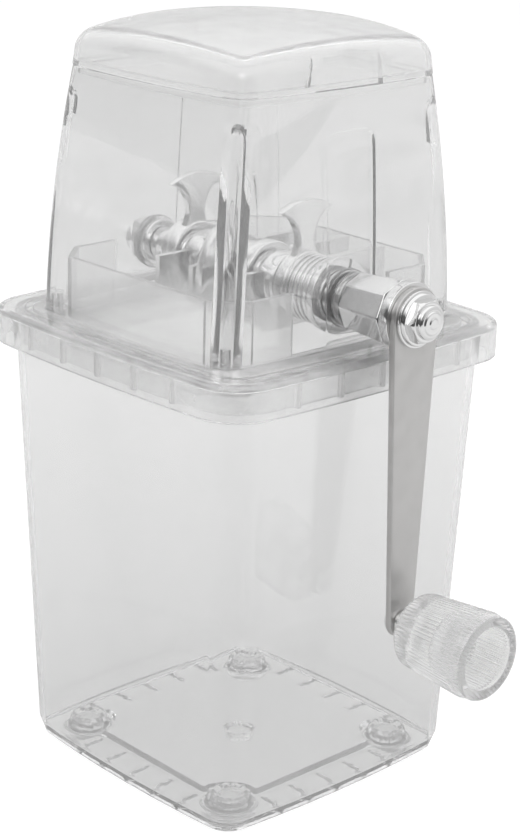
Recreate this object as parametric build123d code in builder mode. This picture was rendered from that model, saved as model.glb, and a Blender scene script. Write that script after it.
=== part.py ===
from build123d import *
import math
import os

os.makedirs("parts", exist_ok=True)

# Clear hand-cranked ice crusher, all sizes in millimetres.
# z 0 is the surface it stands on, x 0 and y 0 are the middle of the bin.
# The crank turns about a line along X and hangs on the +X side.

# ---- driving sizes ----
base_half = 55.0            # middle of a bin side at the foot
bin_top_half = 61.2         # middle of a bin side at the rim
foot_height = 2.6           # underside of the bin above the surface
bin_height = 159.7          # rim of the bin, where the hopper's flange rests
hopper_rise = 84.3          # from the bin's rim to the hopper's
lid_rise = 18.0             # from the hopper's rim to the crown of the lid
shaft_rise = 17.3           # shaft above the bin's rim
crank_length = 102.5        # shaft to knob pin

wall = 2.2                  # clear plastic walls
side_bow = 2.6              # how far the middle of a side stands out past its ends
slip_gap = 0.5              # between plastic pieces that lift apart
seat_gap = 0.03             # radial, a piece fixed on the shaft or pushed in a hole
running_gap = 0.05          # radial, a bore on a turning shaft
side_gap = 0.4              # along the shaft, between a turning and a still piece

# ---- bin ----
base_tuck = 1.6             # the foot band draws in towards its lower edge
band_height = 8.4
base_corner = 8.0
bin_top_corner = 14.0
floor_top = 6.0
panel_inset = 15.5          # from the bin's side to the raised middle of the floor
panel_rise = 1.0
panel_step = 3.0            # room left round each foot socket
foot_inset = 17.5           # from the bin's side to a foot's centre
foot_pad_radius = 7.4
foot_stem_radius = 4.5
stem_room = 1.0             # socket left free past the end of a foot's stem
foot_chamfer = 0.7
socket_radius = 6.3
socket_height = 3.4
socket_cap = 1.2            # plastic over the end of the foot's stem
flute_count = 12
flute_radius = 0.7
rim_land = 3.0              # flat left round the underside
rib_count = 5               # ribs under each side of the floor
rib_pitch = 13.0
rib_width = 1.4
rib_reach = 9.0
hollow_depth = 1.2          # under the floor, between the ribs
pad_land = 0.8              # flat left round each foot pad
stud_radius = 4.5

# ---- hopper ----
shoulder_x = 11.8           # from the bin's side in to the wall's foot: the sides that carry
shoulder_y = 6.6            # the shaft stand closer in
middle_draw_x = 1.0         # how far the walls lean in by the middle section
middle_draw_y = 2.7
top_draw_x = 3.0            # and by the rim
top_draw_y = 7.1
middle_rise = 41.9          # of the middle section above the flange
hopper_corner = 7.5
hopper_wall = 2.4
flange_thick = 2.4
rim_room = 2.6              # between the bin's rim and the skirt
skirt_drop = 12.0
skirt_corner_gain = 2.0     # the skirt's corners are that much rounder than the bin's
skirt_round = 1.8
spigot_room = 0.8           # between the spigot and the inside of the bin's rim
spigot_drop = 9.5
post_radius = 2.8
post_rise = 40.9            # above the flange
post_inset = 2.6            # from the inside of the corner to the post's centre
panel_half_width = 10.5     # shallow panels on the two shaft sides
panel_depth = 0.8
panel_foot_rise = 1.4       # from the flange to a panel's foot
panel_head_drop = 13.0      # from the hopper's rim to a panel's head
brace_count = 5             # small braces inside each side of the skirt
brace_pitch = 18.0
brace_width = 1.6
brace_depth = 2.4
brace_lift = 1.5            # the braces stop short of the skirt's lower edge
boss_radius = 9.0           # outside, round the bush
boss_land = 0.6             # wall left round a boss where the panel is cut
boss_reach = 4.0            # outside the wall's middle section, crank side
far_boss_reach = 1.2
inner_boss_radius = 9.4     # inside, both sides
inner_boss_reach = 3.0      # from the wall's middle section inwards
boss_root = 2.0             # how far a boss runs back into the wall

# ---- lid ----
crown_drop = 4.5            # from the crown to where it meets the sides
lid_overhang_x = 0.4        # past the hopper's rim
lid_overhang_y = 0.3
lid_corner = 9.0
lid_shoulder = 6.0
lid_draw = 0.5              # the sides lean in towards the top
lid_wall = 2.0
plug_depth = 3.0            # below the hopper's rim
plug_thick = 1.6
plug_shelf = 1.5            # joins the plug to the sides of the lid
grip_depth = 1.6            # finger recesses on the two shaft sides
grip_low_half = 14.5
grip_top_half = 12.5
grip_rise = 12.0            # above the hopper's rim

# ---- chamber ----
chamber_room_x = 3.2        # between the liner and the hopper's walls at their foot
chamber_room_y = 4.0
chamber_rise = 4.5          # above the shaft
chamber_drop = 9.7          # below the bin's rim
chamber_wall = 1.8
post_pass = 3.8             # the cut corners pass a post by this, along x and y together
lip_thick = 2.0
window_half = 21.5
window_drop = 16.5          # from the shaft to a window's foot
ledge_drop = 17.0           # from the shaft to the top of the ledge
ledge_thick = 8.0
ledge_inset = 3.8           # from the ends of the ledge to the liner's outside
claw_room = 3.4             # between the sweep of the claws and the ledge
slot_depth = 5.0
screw_radius = 1.4
screw_head_radius = 2.7
screw_head = 1.6
screw_length = 10.0
screw_room = 0.6            # hole past the end of the screw

# ---- claws and fixed knives ----
claw_spacing = 17.0
claw_angles = [0.0, 250.0, 70.0, 0.0]
claw_reach = 28.6
claw_tip_half = 11.6
claw_tip_fall = 3.4         # the tips stand this far below the middle of the curved top
claw_neck_half = 3.6
claw_neck_height = 14.5
claw_flare = 2.5            # the neck widens by this into the disc
claw_hollow = 2.3           # how far the edge from neck to tip curves in
claw_disc_radius = 11.5
claw_thick = 3.0
claw_disc_thick = 4.8
shaft_radius = 4.0
spacer_radius = 9.4
spacer_end_radius = 7.4
spacer_end = 2.6
knife_thick = 2.2
knife_slot_gap = 0.1        # each side of a knife in its slot
knife_front = -24.0
knife_belly_drop = 16.0     # from the shaft to the plate's lower edge
knife_nose_drop = 7.0       # from the shaft to the lower corner at the front
knife_clear = 1.1           # round the spacers

# ---- shaft ends ----
hub_flange_radius = 12.6
hub_flange = 2.6
hub_radius = 11.3
groove_radius = 10.3
groove_pitch = 2.12
groove_width = 0.9
neck_radius = 6.0
neck_length = 1.5           # between the grooves and the flange
far_disc_radius = 11.0
far_disc = 3.1
bush_radius = 6.2
bush_flange_radius = 8.2
bush_flange = 2.4
collar_radius = 9.8
collar_wide_radius = 11.2
collar_ring = 4.4
collar_groove = 0.8
collar_groove_radius = 9.6
arm_clear = 9.6             # from the skirt's side to the arm
arm_thick = 2.4
arm_top_radius = 10.0
arm_low_radius = 5.3
washer_radius = 9.2
washer_thick = 1.2
nut_flange_radius = 8.6
nut_flange = 1.2
nut_across = 13.0           # across the flats
nut_flats = 4.0
nut_dome_radius = 5.6
nut_dome_round = 1.9
nut_dome = 2.2              # past the flats
far_washer_radius = 7.6
far_nut_across = 12.4
far_nut_flats = 6.0
far_dome_radius = 5.4
far_dome_round = 4.2
far_dome = 4.8
nut_tip = 1.4               # metal over the end of the shaft

# ---- knob ----
pin_radius = 2.5
pin_rivet_radius = 4.2
pin_rivet = 1.6
pin_shoulder_radius = 4.2
pin_shoulder = 2.4
pin_head_radius = 4.6
pin_head = 2.4
knob_length = 34.7
knob_neck_radius = 7.4
knob_neck = 3.0
knob_small_radius = 11.6
knob_large_radius = 14.0
knob_recess_radius = 10.4
knob_recess = 15.0
knob_rim = 3.2              # smooth rim outside the ribs
knob_rib_count = 60
knob_rib_height = 0.5
knob_rib_width = 0.7
spoke_count = 4             # stiffening ribs in the recess
spoke_width = 1.2
spoke_height = 9.0

# ---- sizes that follow from the others ----
# heights, from the bin's rim
shaft_height = bin_height + shaft_rise
hopper_top = bin_height + hopper_rise
lid_top = hopper_top + lid_rise
flange_top = bin_height + flange_thick
middle_height = flange_top + middle_rise
post_top = flange_top + post_rise
panel_foot = flange_top + panel_foot_rise
panel_top = hopper_top - panel_head_drop
skirt_foot = flange_top - skirt_drop
spigot_foot = bin_height - spigot_drop
lip_foot = bin_height - lip_thick
grip_top = hopper_top + grip_rise
chamber_foot = bin_height - chamber_drop
chamber_top = shaft_height + chamber_rise
window_foot = shaft_height - window_drop
ledge_top = shaft_height - ledge_drop
ledge_foot = ledge_top - ledge_thick
knife_foot = ledge_top - slot_depth
knife_belly = shaft_height - knife_belly_drop
knife_nose = shaft_height - knife_nose_drop
knob_height = shaft_height - crank_length

# the bin's floor and feet
panel_half = base_half - panel_inset
foot_place = base_half - foot_inset
foot_hole = floor_top + socket_height - socket_cap - foot_height
foot_stem = foot_hole - stem_room

# outlines, from the bin's rim inwards and outwards
skirt_half = bin_top_half + rim_room + wall
skirt_corner = bin_top_corner + skirt_corner_gain
spigot_half = bin_top_half - wall - spigot_room
lip_half = spigot_half - wall - slip_gap
foot_half_x = bin_top_half - shoulder_x
foot_half_y = bin_top_half - shoulder_y
middle_half_x = foot_half_x - middle_draw_x
middle_half_y = foot_half_y - middle_draw_y
top_half_x = foot_half_x - top_draw_x
top_half_y = foot_half_y - top_draw_y
lid_half_x = top_half_x + lid_overhang_x
lid_half_y = top_half_y + lid_overhang_y
chamber_half_x = foot_half_x - hopper_wall - chamber_room_x
chamber_half_y = foot_half_y - hopper_wall - chamber_room_y
ledge_half_x = chamber_half_x - ledge_inset

# along the shaft
claw_tip_height = claw_reach - claw_tip_fall
claw_places = [-1.5 * claw_spacing, -0.5 * claw_spacing, 0.5 * claw_spacing, 1.5 * claw_spacing]
knife_places = [-claw_spacing, 0.0, claw_spacing]
knife_back = chamber_half_y - chamber_wall - slip_gap / 2
ledge_start = claw_reach + claw_room
shaft_bore = shaft_radius + seat_gap
bush_bore = shaft_radius + running_gap
boss_end = middle_half_x + boss_reach
far_boss_end = middle_half_x + far_boss_reach
inner_boss_face = middle_half_x - inner_boss_reach
bush_face = inner_boss_face - bush_flange
stack_end = claw_places[-1] + claw_disc_thick / 2
hub_end = bush_face - side_gap
hub_length = hub_end - hub_flange - neck_length - stack_end
groove_count = round(hub_length / groove_pitch) - 1
collar_start = boss_end + side_gap
arm_inner_face = skirt_half + arm_clear
arm_outer_face = arm_inner_face + arm_thick
nut_seat = arm_outer_face + washer_thick
nut_end = nut_seat + nut_flats + nut_dome
far_washer_face = far_boss_end + side_gap
far_nut_seat = -far_washer_face - washer_thick
far_nut_end = far_nut_seat - far_nut_flats - far_dome
knob_start = arm_outer_face + pin_shoulder + side_gap
knob_end = knob_start + knob_length


# ---- outlines shared by several pieces ----
def bowed_outline(half_x, half_y, corner, height):
    """Rectangle whose sides bow outwards, with rounded corners, at one height."""
    end_x = half_x - side_bow
    end_y = half_y - side_bow
    with BuildSketch(Plane.XY.offset(height)) as outline:
        with BuildLine():
            ThreePointArc((-end_x, -end_y), (0, -half_y), (end_x, -end_y))
            ThreePointArc((end_x, -end_y), (half_x, 0), (end_x, end_y))
            ThreePointArc((end_x, end_y), (0, half_y), (-end_x, end_y))
            ThreePointArc((-end_x, end_y), (-half_x, 0), (-end_x, -end_y))
        make_face()
        fillet(outline.vertices(), corner)
    return outline.sketch


def square_outline(half, corner, height):
    return bowed_outline(half, half, corner, height)


def turned(profile, z=shaft_height):
    """Solid turned about the X line at height z from (x, radius) points."""
    with BuildPart() as piece:
        with BuildSketch(Plane.XZ):
            with BuildLine():
                Polyline([(x, z + radius) for x, radius in profile], close=True)
            make_face()
        revolve(axis=Axis((0, 0, z), (1, 0, 0)))
    return piece.part


def across_x(x, z=shaft_height):
    """Plane facing +X at x, its middle on the line at height z; local x runs along Y, local y up."""
    return Plane(origin=(x, 0, z), x_dir=(0, 1, 0), z_dir=(1, 0, 0))


def hopper_outline(inset):
    """The hopper's three sections, moved in by inset."""
    corner = hopper_corner - inset
    return [
        bowed_outline(foot_half_x - inset, foot_half_y - inset, corner, flange_top),
        bowed_outline(middle_half_x - inset, middle_half_y - inset, corner, middle_height),
        bowed_outline(top_half_x - inset, top_half_y - inset, corner, hopper_top),
    ]


def post_place(height):
    """Centre of a corner post, following the taper of the walls."""
    rise = (height - flange_top) / (middle_height - flange_top)
    x = foot_half_x + (middle_half_x - foot_half_x) * rise
    y = foot_half_y + (middle_half_y - foot_half_y) * rise
    inset = side_bow + hopper_wall + post_inset
    return x - inset, y - inset


corner_signs = [(1, 1), (-1, 1), (-1, -1), (1, -1)]
screw_x, screw_y = post_place(flange_top)
# the liner's corners are cut off to pass the hopper's posts
chamber_cut = chamber_half_x + chamber_half_y - screw_x - screw_y + post_radius + post_pass

# ---- bin: tapered, bowed walls on a tucked-in foot band ----
with BuildPart() as bin_shell:
    loft(
        sections=[
            square_outline(base_half - base_tuck, base_corner, foot_height),
            square_outline(base_half, base_corner, band_height),
        ],
        ruled=True,
    )
    loft(
        sections=[
            square_outline(base_half, base_corner, band_height),
            square_outline(bin_top_half, bin_top_corner, bin_height),
        ],
        ruled=True,
    )
    loft(
        sections=[
            square_outline(base_half - wall, base_corner - wall / 2, floor_top),
            square_outline(bin_top_half - wall, bin_top_corner - wall, bin_height),
        ],
        ruled=True,
        mode=Mode.SUBTRACT,
    )
    # raised middle of the floor, stepped round each foot socket
    with BuildSketch(Plane.XY.offset(floor_top)):
        Rectangle(2 * panel_half, 2 * panel_half)
        with GridLocations(2 * foot_place, 2 * foot_place, 2, 2):
            Circle(socket_radius + panel_step, mode=Mode.SUBTRACT)
    extrude(amount=panel_rise)
    # fluted foot sockets
    with BuildSketch(Plane.XY.offset(floor_top)):
        with GridLocations(2 * foot_place, 2 * foot_place, 2, 2):
            Circle(socket_radius)
            with PolarLocations(socket_radius, flute_count):
                Circle(flute_radius)
    extrude(amount=socket_height)
    # shallow hollow under the floor, leaving the rim, the foot seats and the ribs
    hollow_half = base_half - base_tuck - rim_land
    with BuildSketch(Plane.XY.offset(foot_height)):
        add(square_outline(hollow_half, base_corner - rim_land, 0))
        with GridLocations(2 * foot_place, 2 * foot_place, 2, 2):
            Circle(foot_pad_radius + pad_land, mode=Mode.SUBTRACT)
        with PolarLocations(hollow_half - rib_reach / 2, 4):
            with GridLocations(1, rib_pitch, 1, rib_count):
                Rectangle(rib_reach, rib_width, mode=Mode.SUBTRACT)
        Circle(stud_radius, mode=Mode.SUBTRACT)
    extrude(amount=hollow_depth, mode=Mode.SUBTRACT)
    # middle stud, level with the feet
    with BuildSketch():
        Circle(stud_radius)
    extrude(amount=foot_height + hollow_depth)
    with BuildSketch(Plane.XY.offset(foot_height)):
        with GridLocations(2 * foot_place, 2 * foot_place, 2, 2):
            Circle(foot_stem_radius + seat_gap)
    extrude(amount=foot_hole, mode=Mode.SUBTRACT)
bin_shell.part.label = "bin"
export_step(bin_shell.part, "parts/bin.step")

# ---- feet: clear pads pushed into the sockets ----
with BuildPart() as feet:
    with BuildSketch():
        with GridLocations(2 * foot_place, 2 * foot_place, 2, 2):
            Circle(foot_pad_radius)
    extrude(amount=foot_height)
    chamfer(feet.edges().group_by(Axis.Z)[0], foot_chamfer)
    with BuildSketch(Plane.XY.offset(foot_height)):
        with GridLocations(2 * foot_place, 2 * foot_place, 2, 2):
            Circle(foot_stem_radius)
    extrude(amount=foot_stem)
feet.part.label = "feet"
export_step(feet.part, "parts/feet.step")

# ---- hopper: tapered upper housing with the flange and skirt that cap the bin ----
with BuildPart() as posts:
    for sign_x, sign_y in corner_signs:
        foot_x, foot_y = post_place(bin_height - flange_thick)
        head_x, head_y = post_place(post_top)
        foot = Vector(sign_x * foot_x, sign_y * foot_y, bin_height - flange_thick)
        head = Vector(sign_x * head_x, sign_y * head_y, post_top)
        with BuildSketch(Plane(origin=foot, z_dir=head - foot)):
            Circle(post_radius)
        extrude(amount=(head - foot).length)
        with Locations(head):
            Sphere(post_radius)
    split(bisect_by=Plane.XY.offset(bin_height), keep=Keep.TOP)

with BuildPart() as hopper:
    # flange and skirt over the rim of the bin
    extrude(square_outline(skirt_half, skirt_corner, skirt_foot), amount=skirt_drop)
    fillet(hopper.faces().sort_by(Axis.Z)[-1].edges(), skirt_round)
    extrude(
        square_outline(skirt_half - wall, skirt_corner - wall, skirt_foot),
        amount=skirt_drop - flange_thick,
        mode=Mode.SUBTRACT,
    )
    # braces inside the skirt
    with BuildSketch(Plane.XY.offset(skirt_foot + brace_lift)):
        with PolarLocations(skirt_half - wall - brace_depth / 2 + slip_gap, 4):
            with GridLocations(1, brace_pitch, 1, brace_count):
                Rectangle(brace_depth, brace_width)
    extrude(amount=bin_height - skirt_foot - brace_lift)
    # spigot inside the rim
    extrude(square_outline(spigot_half, bin_top_corner - wall, spigot_foot), amount=spigot_drop)
    extrude(
        square_outline(spigot_half - wall, bin_top_corner - 2 * wall, spigot_foot),
        amount=spigot_drop,
        mode=Mode.SUBTRACT,
    )
    # tapered walls, bosses for the bushes and the way down through the flange
    loft(sections=hopper_outline(0.0))
    with BuildSketch(across_x(middle_half_x - boss_root)):
        Circle(boss_radius)
    extrude(amount=boss_end - middle_half_x + boss_root)
    with BuildSketch(across_x(-far_boss_end)):
        Circle(boss_radius)
    extrude(amount=boss_root)
    extrude(
        bowed_outline(
            foot_half_x - hopper_wall, foot_half_y - hopper_wall, hopper_corner - hopper_wall, bin_height
        ),
        amount=flange_thick,
        mode=Mode.SUBTRACT,
    )
    loft(sections=hopper_outline(hopper_wall), mode=Mode.SUBTRACT)
    add(posts.part)
    with BuildSketch(across_x(inner_boss_face)):
        Circle(inner_boss_radius)
    extrude(amount=boss_root)
    with BuildSketch(across_x(-inner_boss_face)):
        Circle(inner_boss_radius)
    extrude(amount=-boss_root)
    with BuildSketch(across_x(-boss_end)):
        Circle(bush_radius + seat_gap)
    extrude(amount=2 * boss_end, mode=Mode.SUBTRACT)
    # shallow panels on the two shaft sides, round at the top
    for side in (1, -1):
        lean = (foot_half_x - top_half_x) / (hopper_top - flange_top)
        panel_plane = Plane(
            origin=(side * (foot_half_x - panel_depth), 0, panel_foot),
            x_dir=(0, side, 0),
            z_dir=(side, 0, lean),
        )
        straight = panel_top - panel_half_width - panel_foot
        with BuildSketch(panel_plane):
            Rectangle(2 * panel_half_width, straight, align=(Align.CENTER, Align.MIN))
            with Locations((0, straight)):
                Circle(panel_half_width)
            with Locations((0, shaft_height - panel_foot)):
                Circle(boss_radius + boss_land, mode=Mode.SUBTRACT)
        extrude(amount=hopper_wall, mode=Mode.SUBTRACT)
    # screw holes up into the corner posts
    with BuildSketch(Plane.XY.offset(bin_height)):
        for sign_x, sign_y in corner_signs:
            with Locations((sign_x * screw_x, sign_y * screw_y)):
                Circle(screw_radius + seat_gap)
    extrude(amount=screw_length - lip_thick + screw_room, mode=Mode.SUBTRACT)
hopper.part.label = "hopper"
export_step(hopper.part, "parts/hopper.step")

# ---- chamber: liner round the claws, hung by its lip under the flange ----
with BuildPart() as chamber:
    with BuildSketch(Plane.XY.offset(chamber_foot)) as liner:
        Rectangle(2 * chamber_half_x, 2 * chamber_half_y)
        chamfer(liner.vertices(), chamber_cut)
    extrude(amount=chamber_top - chamber_foot)
    extrude(
        square_outline(lip_half, bin_top_corner - 2 * wall - slip_gap, lip_foot),
        amount=lip_thick,
    )
    with BuildSketch(Plane.XY.offset(chamber_foot)) as inside:
        Rectangle(2 * (chamber_half_x - chamber_wall), 2 * (chamber_half_y - chamber_wall))
        chamfer(inside.vertices(), chamber_cut - chamber_wall / 2)
    extrude(amount=chamber_top - chamber_foot, mode=Mode.SUBTRACT)
    # windows for the shaft, open at the top
    with BuildSketch(across_x(-chamber_half_x, window_foot)):
        Rectangle(2 * window_half, chamber_top - window_foot, align=(Align.CENTER, Align.MIN))
    extrude(amount=2 * chamber_half_x, mode=Mode.SUBTRACT)
    # ledge that carries the knives, with a slot for each
    with BuildSketch(Plane.XY.offset(ledge_foot)) as ledge:
        Rectangle(2 * chamber_half_x - chamber_wall, 2 * chamber_half_y - chamber_wall)
        chamfer(ledge.vertices(), chamber_cut)
        with Locations((0, ledge_start)):
            Rectangle(
                2 * ledge_half_x, chamber_half_y, align=(Align.CENTER, Align.MIN), mode=Mode.INTERSECT
            )
    extrude(amount=ledge_top - ledge_foot)
    with BuildSketch(Plane.XY.offset(knife_foot)):
        for x in knife_places:
            with Locations((x, ledge_start)):
                Rectangle(
                    knife_thick + 2 * knife_slot_gap,
                    knife_back + knife_slot_gap - ledge_start,
                    align=(Align.CENTER, Align.MIN),
                )
    extrude(amount=ledge_top - knife_foot, mode=Mode.SUBTRACT)
    with BuildSketch(Plane.XY.offset(lip_foot)):
        for sign_x, sign_y in corner_signs:
            with Locations((sign_x * screw_x, sign_y * screw_y)):
                Circle(screw_radius + seat_gap)
    extrude(amount=lip_thick, mode=Mode.SUBTRACT)
chamber.part.label = "chamber"
export_step(chamber.part, "parts/chamber.step")

with BuildPart() as chamber_screws:
    with BuildSketch(Plane.XY.offset(lip_foot - screw_head)):
        for sign_x, sign_y in corner_signs:
            with Locations((sign_x * screw_x, sign_y * screw_y)):
                Circle(screw_head_radius)
    extrude(amount=screw_head)
    with BuildSketch(Plane.XY.offset(lip_foot)):
        for sign_x, sign_y in corner_signs:
            with Locations((sign_x * screw_x, sign_y * screw_y)):
                Circle(screw_radius)
    extrude(amount=screw_length)
chamber_screws.part.label = "chamber_screws"
export_step(chamber_screws.part, "parts/chamber_screws.step")

# ---- fixed knives: plates that stand in the ledge and reach under the shaft ----
with BuildPart() as fixed_knives:
    notch = spacer_radius + knife_clear
    for x in knife_places:
        with BuildSketch(across_x(x, 0)):
            with BuildLine():
                Polyline(
                    (notch, shaft_height),
                    (notch, chamber_top),
                    (knife_back, chamber_top),
                    (knife_back, knife_foot),
                    (ledge_start, knife_foot),
                    (ledge_start, knife_belly),
                    (-notch, knife_belly),
                    (knife_front, knife_nose),
                    (knife_front, chamber_top),
                    (-notch, chamber_top),
                    (-notch, shaft_height),
                )
                ThreePointArc((-notch, shaft_height), (0, shaft_height - notch), (notch, shaft_height))
            make_face()
        extrude(amount=knife_thick / 2, both=True)
fixed_knives.part.label = "fixed_knives"
export_step(fixed_knives.part, "parts/fixed_knives.step")

# ---- bushes in the two shaft walls ----
near_bush = turned(
    [
        (bush_face, bush_bore),
        (bush_face, bush_flange_radius),
        (inner_boss_face, bush_flange_radius),
        (inner_boss_face, bush_radius),
        (boss_end, bush_radius),
        (boss_end, bush_bore),
    ]
)
near_bush.label = "near_bush"
export_step(near_bush, "parts/near_bush.step")

far_bush = turned(
    [
        (-bush_face, bush_bore),
        (-bush_face, bush_flange_radius),
        (-inner_boss_face, bush_flange_radius),
        (-inner_boss_face, bush_radius),
        (-far_boss_end, bush_radius),
        (-far_boss_end, bush_bore),
    ]
)
far_bush.label = "far_bush"
export_step(far_bush, "parts/far_bush.step")

# ---- shaft ----
with BuildPart() as shaft:
    with BuildSketch(across_x(far_nut_end + far_dome_round)):
        Circle(shaft_radius)
    extrude(amount=nut_end - nut_tip - far_nut_end - far_dome_round)
shaft.part.label = "shaft"
export_step(shaft.part, "parts/shaft.step")

# ---- claws: axe-shaped plates on discs, in step round the shaft ----
with BuildPart() as claws:
    # middle of the curved edge from neck to tip, moved in at right angles to its chord
    chord = Vector(claw_tip_half - claw_neck_half, claw_tip_height - claw_neck_height)
    square_to_chord = Vector(-chord.Y, chord.X).normalized()
    edge_middle = Vector(claw_neck_half, claw_neck_height) + chord * 0.5 + square_to_chord * claw_hollow
    root_half = claw_neck_half + claw_flare
    for x, angle in zip(claw_places, claw_angles):
        turn = math.radians(angle)
        claw_plane = Plane(
            origin=(x, 0, shaft_height), x_dir=(0, math.cos(turn), math.sin(turn)), z_dir=(1, 0, 0)
        )
        with BuildSketch(claw_plane):
            with BuildLine():
                Line((-root_half, 0), (root_half, 0))
                Line((root_half, 0), (root_half, claw_disc_radius - claw_flare))
                Line((root_half, claw_disc_radius - claw_flare), (claw_neck_half, claw_neck_height))
                ThreePointArc(
                    (claw_neck_half, claw_neck_height),
                    (edge_middle.X, edge_middle.Y),
                    (claw_tip_half, claw_tip_height),
                )
                ThreePointArc(
                    (claw_tip_half, claw_tip_height),
                    (0, claw_reach),
                    (-claw_tip_half, claw_tip_height),
                )
                ThreePointArc(
                    (-claw_tip_half, claw_tip_height),
                    (-edge_middle.X, edge_middle.Y),
                    (-claw_neck_half, claw_neck_height),
                )
                Line((-claw_neck_half, claw_neck_height), (-root_half, claw_disc_radius - claw_flare))
                Line((-root_half, claw_disc_radius - claw_flare), (-root_half, 0))
            make_face()
        extrude(amount=claw_thick / 2, both=True)
        with BuildSketch(claw_plane):
            Circle(claw_disc_radius)
        extrude(amount=claw_disc_thick / 2, both=True)
        with BuildSketch(claw_plane):
            Circle(shaft_bore)
        extrude(amount=claw_disc_thick / 2, both=True, mode=Mode.SUBTRACT)
claws.part.label = "claws"
export_step(claws.part, "parts/claws.step")

with BuildPart() as spacers:
    half_length = (claw_spacing - claw_disc_thick) / 2
    for x in knife_places:
        add(
            turned(
                [
                    (x - half_length, shaft_bore),
                    (x - half_length, spacer_end_radius),
                    (x - half_length + spacer_end, spacer_end_radius),
                    (x - half_length + spacer_end, spacer_radius),
                    (x + half_length - spacer_end, spacer_radius),
                    (x + half_length - spacer_end, spacer_end_radius),
                    (x + half_length, spacer_end_radius),
                    (x + half_length, shaft_bore),
                ]
            )
        )
spacers.part.label = "spacers"
export_step(spacers.part, "parts/spacers.step")

# ---- hubs between the outer claws and the bushes ----
hub_profile = [(stack_end, shaft_bore), (stack_end, hub_radius)]
for i in range(groove_count):
    groove_start = stack_end + (i + 1) * hub_length / (groove_count + 1) - groove_width / 2
    hub_profile.append((groove_start, hub_radius))
    hub_profile.append((groove_start, groove_radius))
    hub_profile.append((groove_start + groove_width, groove_radius))
    hub_profile.append((groove_start + groove_width, hub_radius))
hub_profile.append((stack_end + hub_length, hub_radius))
hub_profile.append((stack_end + hub_length, neck_radius))
hub_profile.append((hub_end - hub_flange, neck_radius))
hub_profile.append((hub_end - hub_flange, hub_flange_radius))
hub_profile.append((hub_end, hub_flange_radius))
hub_profile.append((hub_end, shaft_bore))
hub_near = turned(hub_profile)
hub_near.label = "hub_near"
export_step(hub_near, "parts/hub_near.step")

hub_far = turned(
    [
        (-stack_end, shaft_bore),
        (-stack_end, far_disc_radius),
        (-stack_end - far_disc, far_disc_radius),
        (-stack_end - far_disc, neck_radius),
        (-hub_end, neck_radius),
        (-hub_end, shaft_bore),
    ]
)
hub_far.label = "hub_far"
export_step(hub_far, "parts/hub_far.step")

# ---- collar: eight-sided sleeve outside the wall, with a turned ring at the arm ----
with BuildPart() as collar:
    ring_start = arm_inner_face - collar_ring
    with BuildSketch(across_x(collar_start)):
        RegularPolygon(collar_radius, 8)
    with BuildSketch(across_x(ring_start)):
        RegularPolygon(collar_wide_radius, 8)
    loft()
    add(
        turned(
            [
                (ring_start, shaft_bore),
                (ring_start, collar_groove_radius),
                (ring_start + collar_groove, collar_groove_radius),
                (ring_start + collar_groove, collar_wide_radius),
                (arm_inner_face, collar_wide_radius),
                (arm_inner_face, shaft_bore),
            ]
        )
    )
    with BuildSketch(across_x(collar_start)):
        Circle(shaft_bore)
    extrude(amount=arm_inner_face - collar_start, mode=Mode.SUBTRACT)
collar.part.label = "collar"
export_step(collar.part, "parts/collar.step")

# ---- crank arm: flat tapered bar ----
with BuildPart() as crank_arm:
    with BuildSketch(across_x(arm_inner_face)):
        Circle(arm_top_radius)
        with Locations((0, -crank_length)):
            Circle(arm_low_radius)
        make_hull()
        Circle(shaft_bore, mode=Mode.SUBTRACT)
        with Locations((0, -crank_length)):
            Circle(pin_radius + seat_gap, mode=Mode.SUBTRACT)
    extrude(amount=arm_thick)
crank_arm.part.label = "crank_arm"
export_step(crank_arm.part, "parts/crank_arm.step")

arm_washer = turned(
    [
        (arm_outer_face, shaft_bore),
        (arm_outer_face, washer_radius),
        (nut_seat, washer_radius),
        (nut_seat, shaft_bore),
    ]
)
arm_washer.label = "arm_washer"
export_step(arm_washer, "parts/arm_washer.step")

# ---- nuts with closed, rounded ends ----
with BuildPart() as crank_nut:
    with BuildSketch(across_x(nut_seat)):
        Circle(nut_flange_radius)
    extrude(amount=nut_flange)
    with BuildSketch(across_x(nut_seat)):
        RegularPolygon(nut_across / 2, 6, major_radius=False)
    extrude(amount=nut_flats)
    with BuildSketch(across_x(nut_seat)):
        Circle(nut_dome_radius)
    extrude(amount=nut_end - nut_seat)
    fillet(crank_nut.faces().sort_by(Axis.X)[-1].edges(), nut_dome_round)
    with BuildSketch(across_x(nut_seat)):
        Circle(shaft_bore)
    extrude(amount=nut_end - nut_tip - nut_seat, mode=Mode.SUBTRACT)
crank_nut.part.label = "crank_nut"
export_step(crank_nut.part, "parts/crank_nut.step")

far_washer = turned(
    [
        (-far_washer_face, shaft_bore),
        (-far_washer_face, far_washer_radius),
        (far_nut_seat, far_washer_radius),
        (far_nut_seat, shaft_bore),
    ]
)
far_washer.label = "far_washer"
export_step(far_washer, "parts/far_washer.step")

with BuildPart() as far_nut:
    with BuildSketch(across_x(far_nut_seat)):
        RegularPolygon(far_nut_across / 2, 6, major_radius=False)
    extrude(amount=-far_nut_flats)
    with BuildSketch(across_x(far_nut_seat)):
        Circle(far_dome_radius)
    extrude(amount=far_nut_end - far_nut_seat)
    fillet(far_nut.faces().sort_by(Axis.X)[0].edges(), far_dome_round)
    with BuildSketch(across_x(far_nut_seat)):
        Circle(shaft_bore)
    extrude(amount=far_nut_end + far_dome_round - far_nut_seat, mode=Mode.SUBTRACT)
far_nut.part.label = "far_nut"
export_step(far_nut.part, "parts/far_nut.step")

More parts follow.
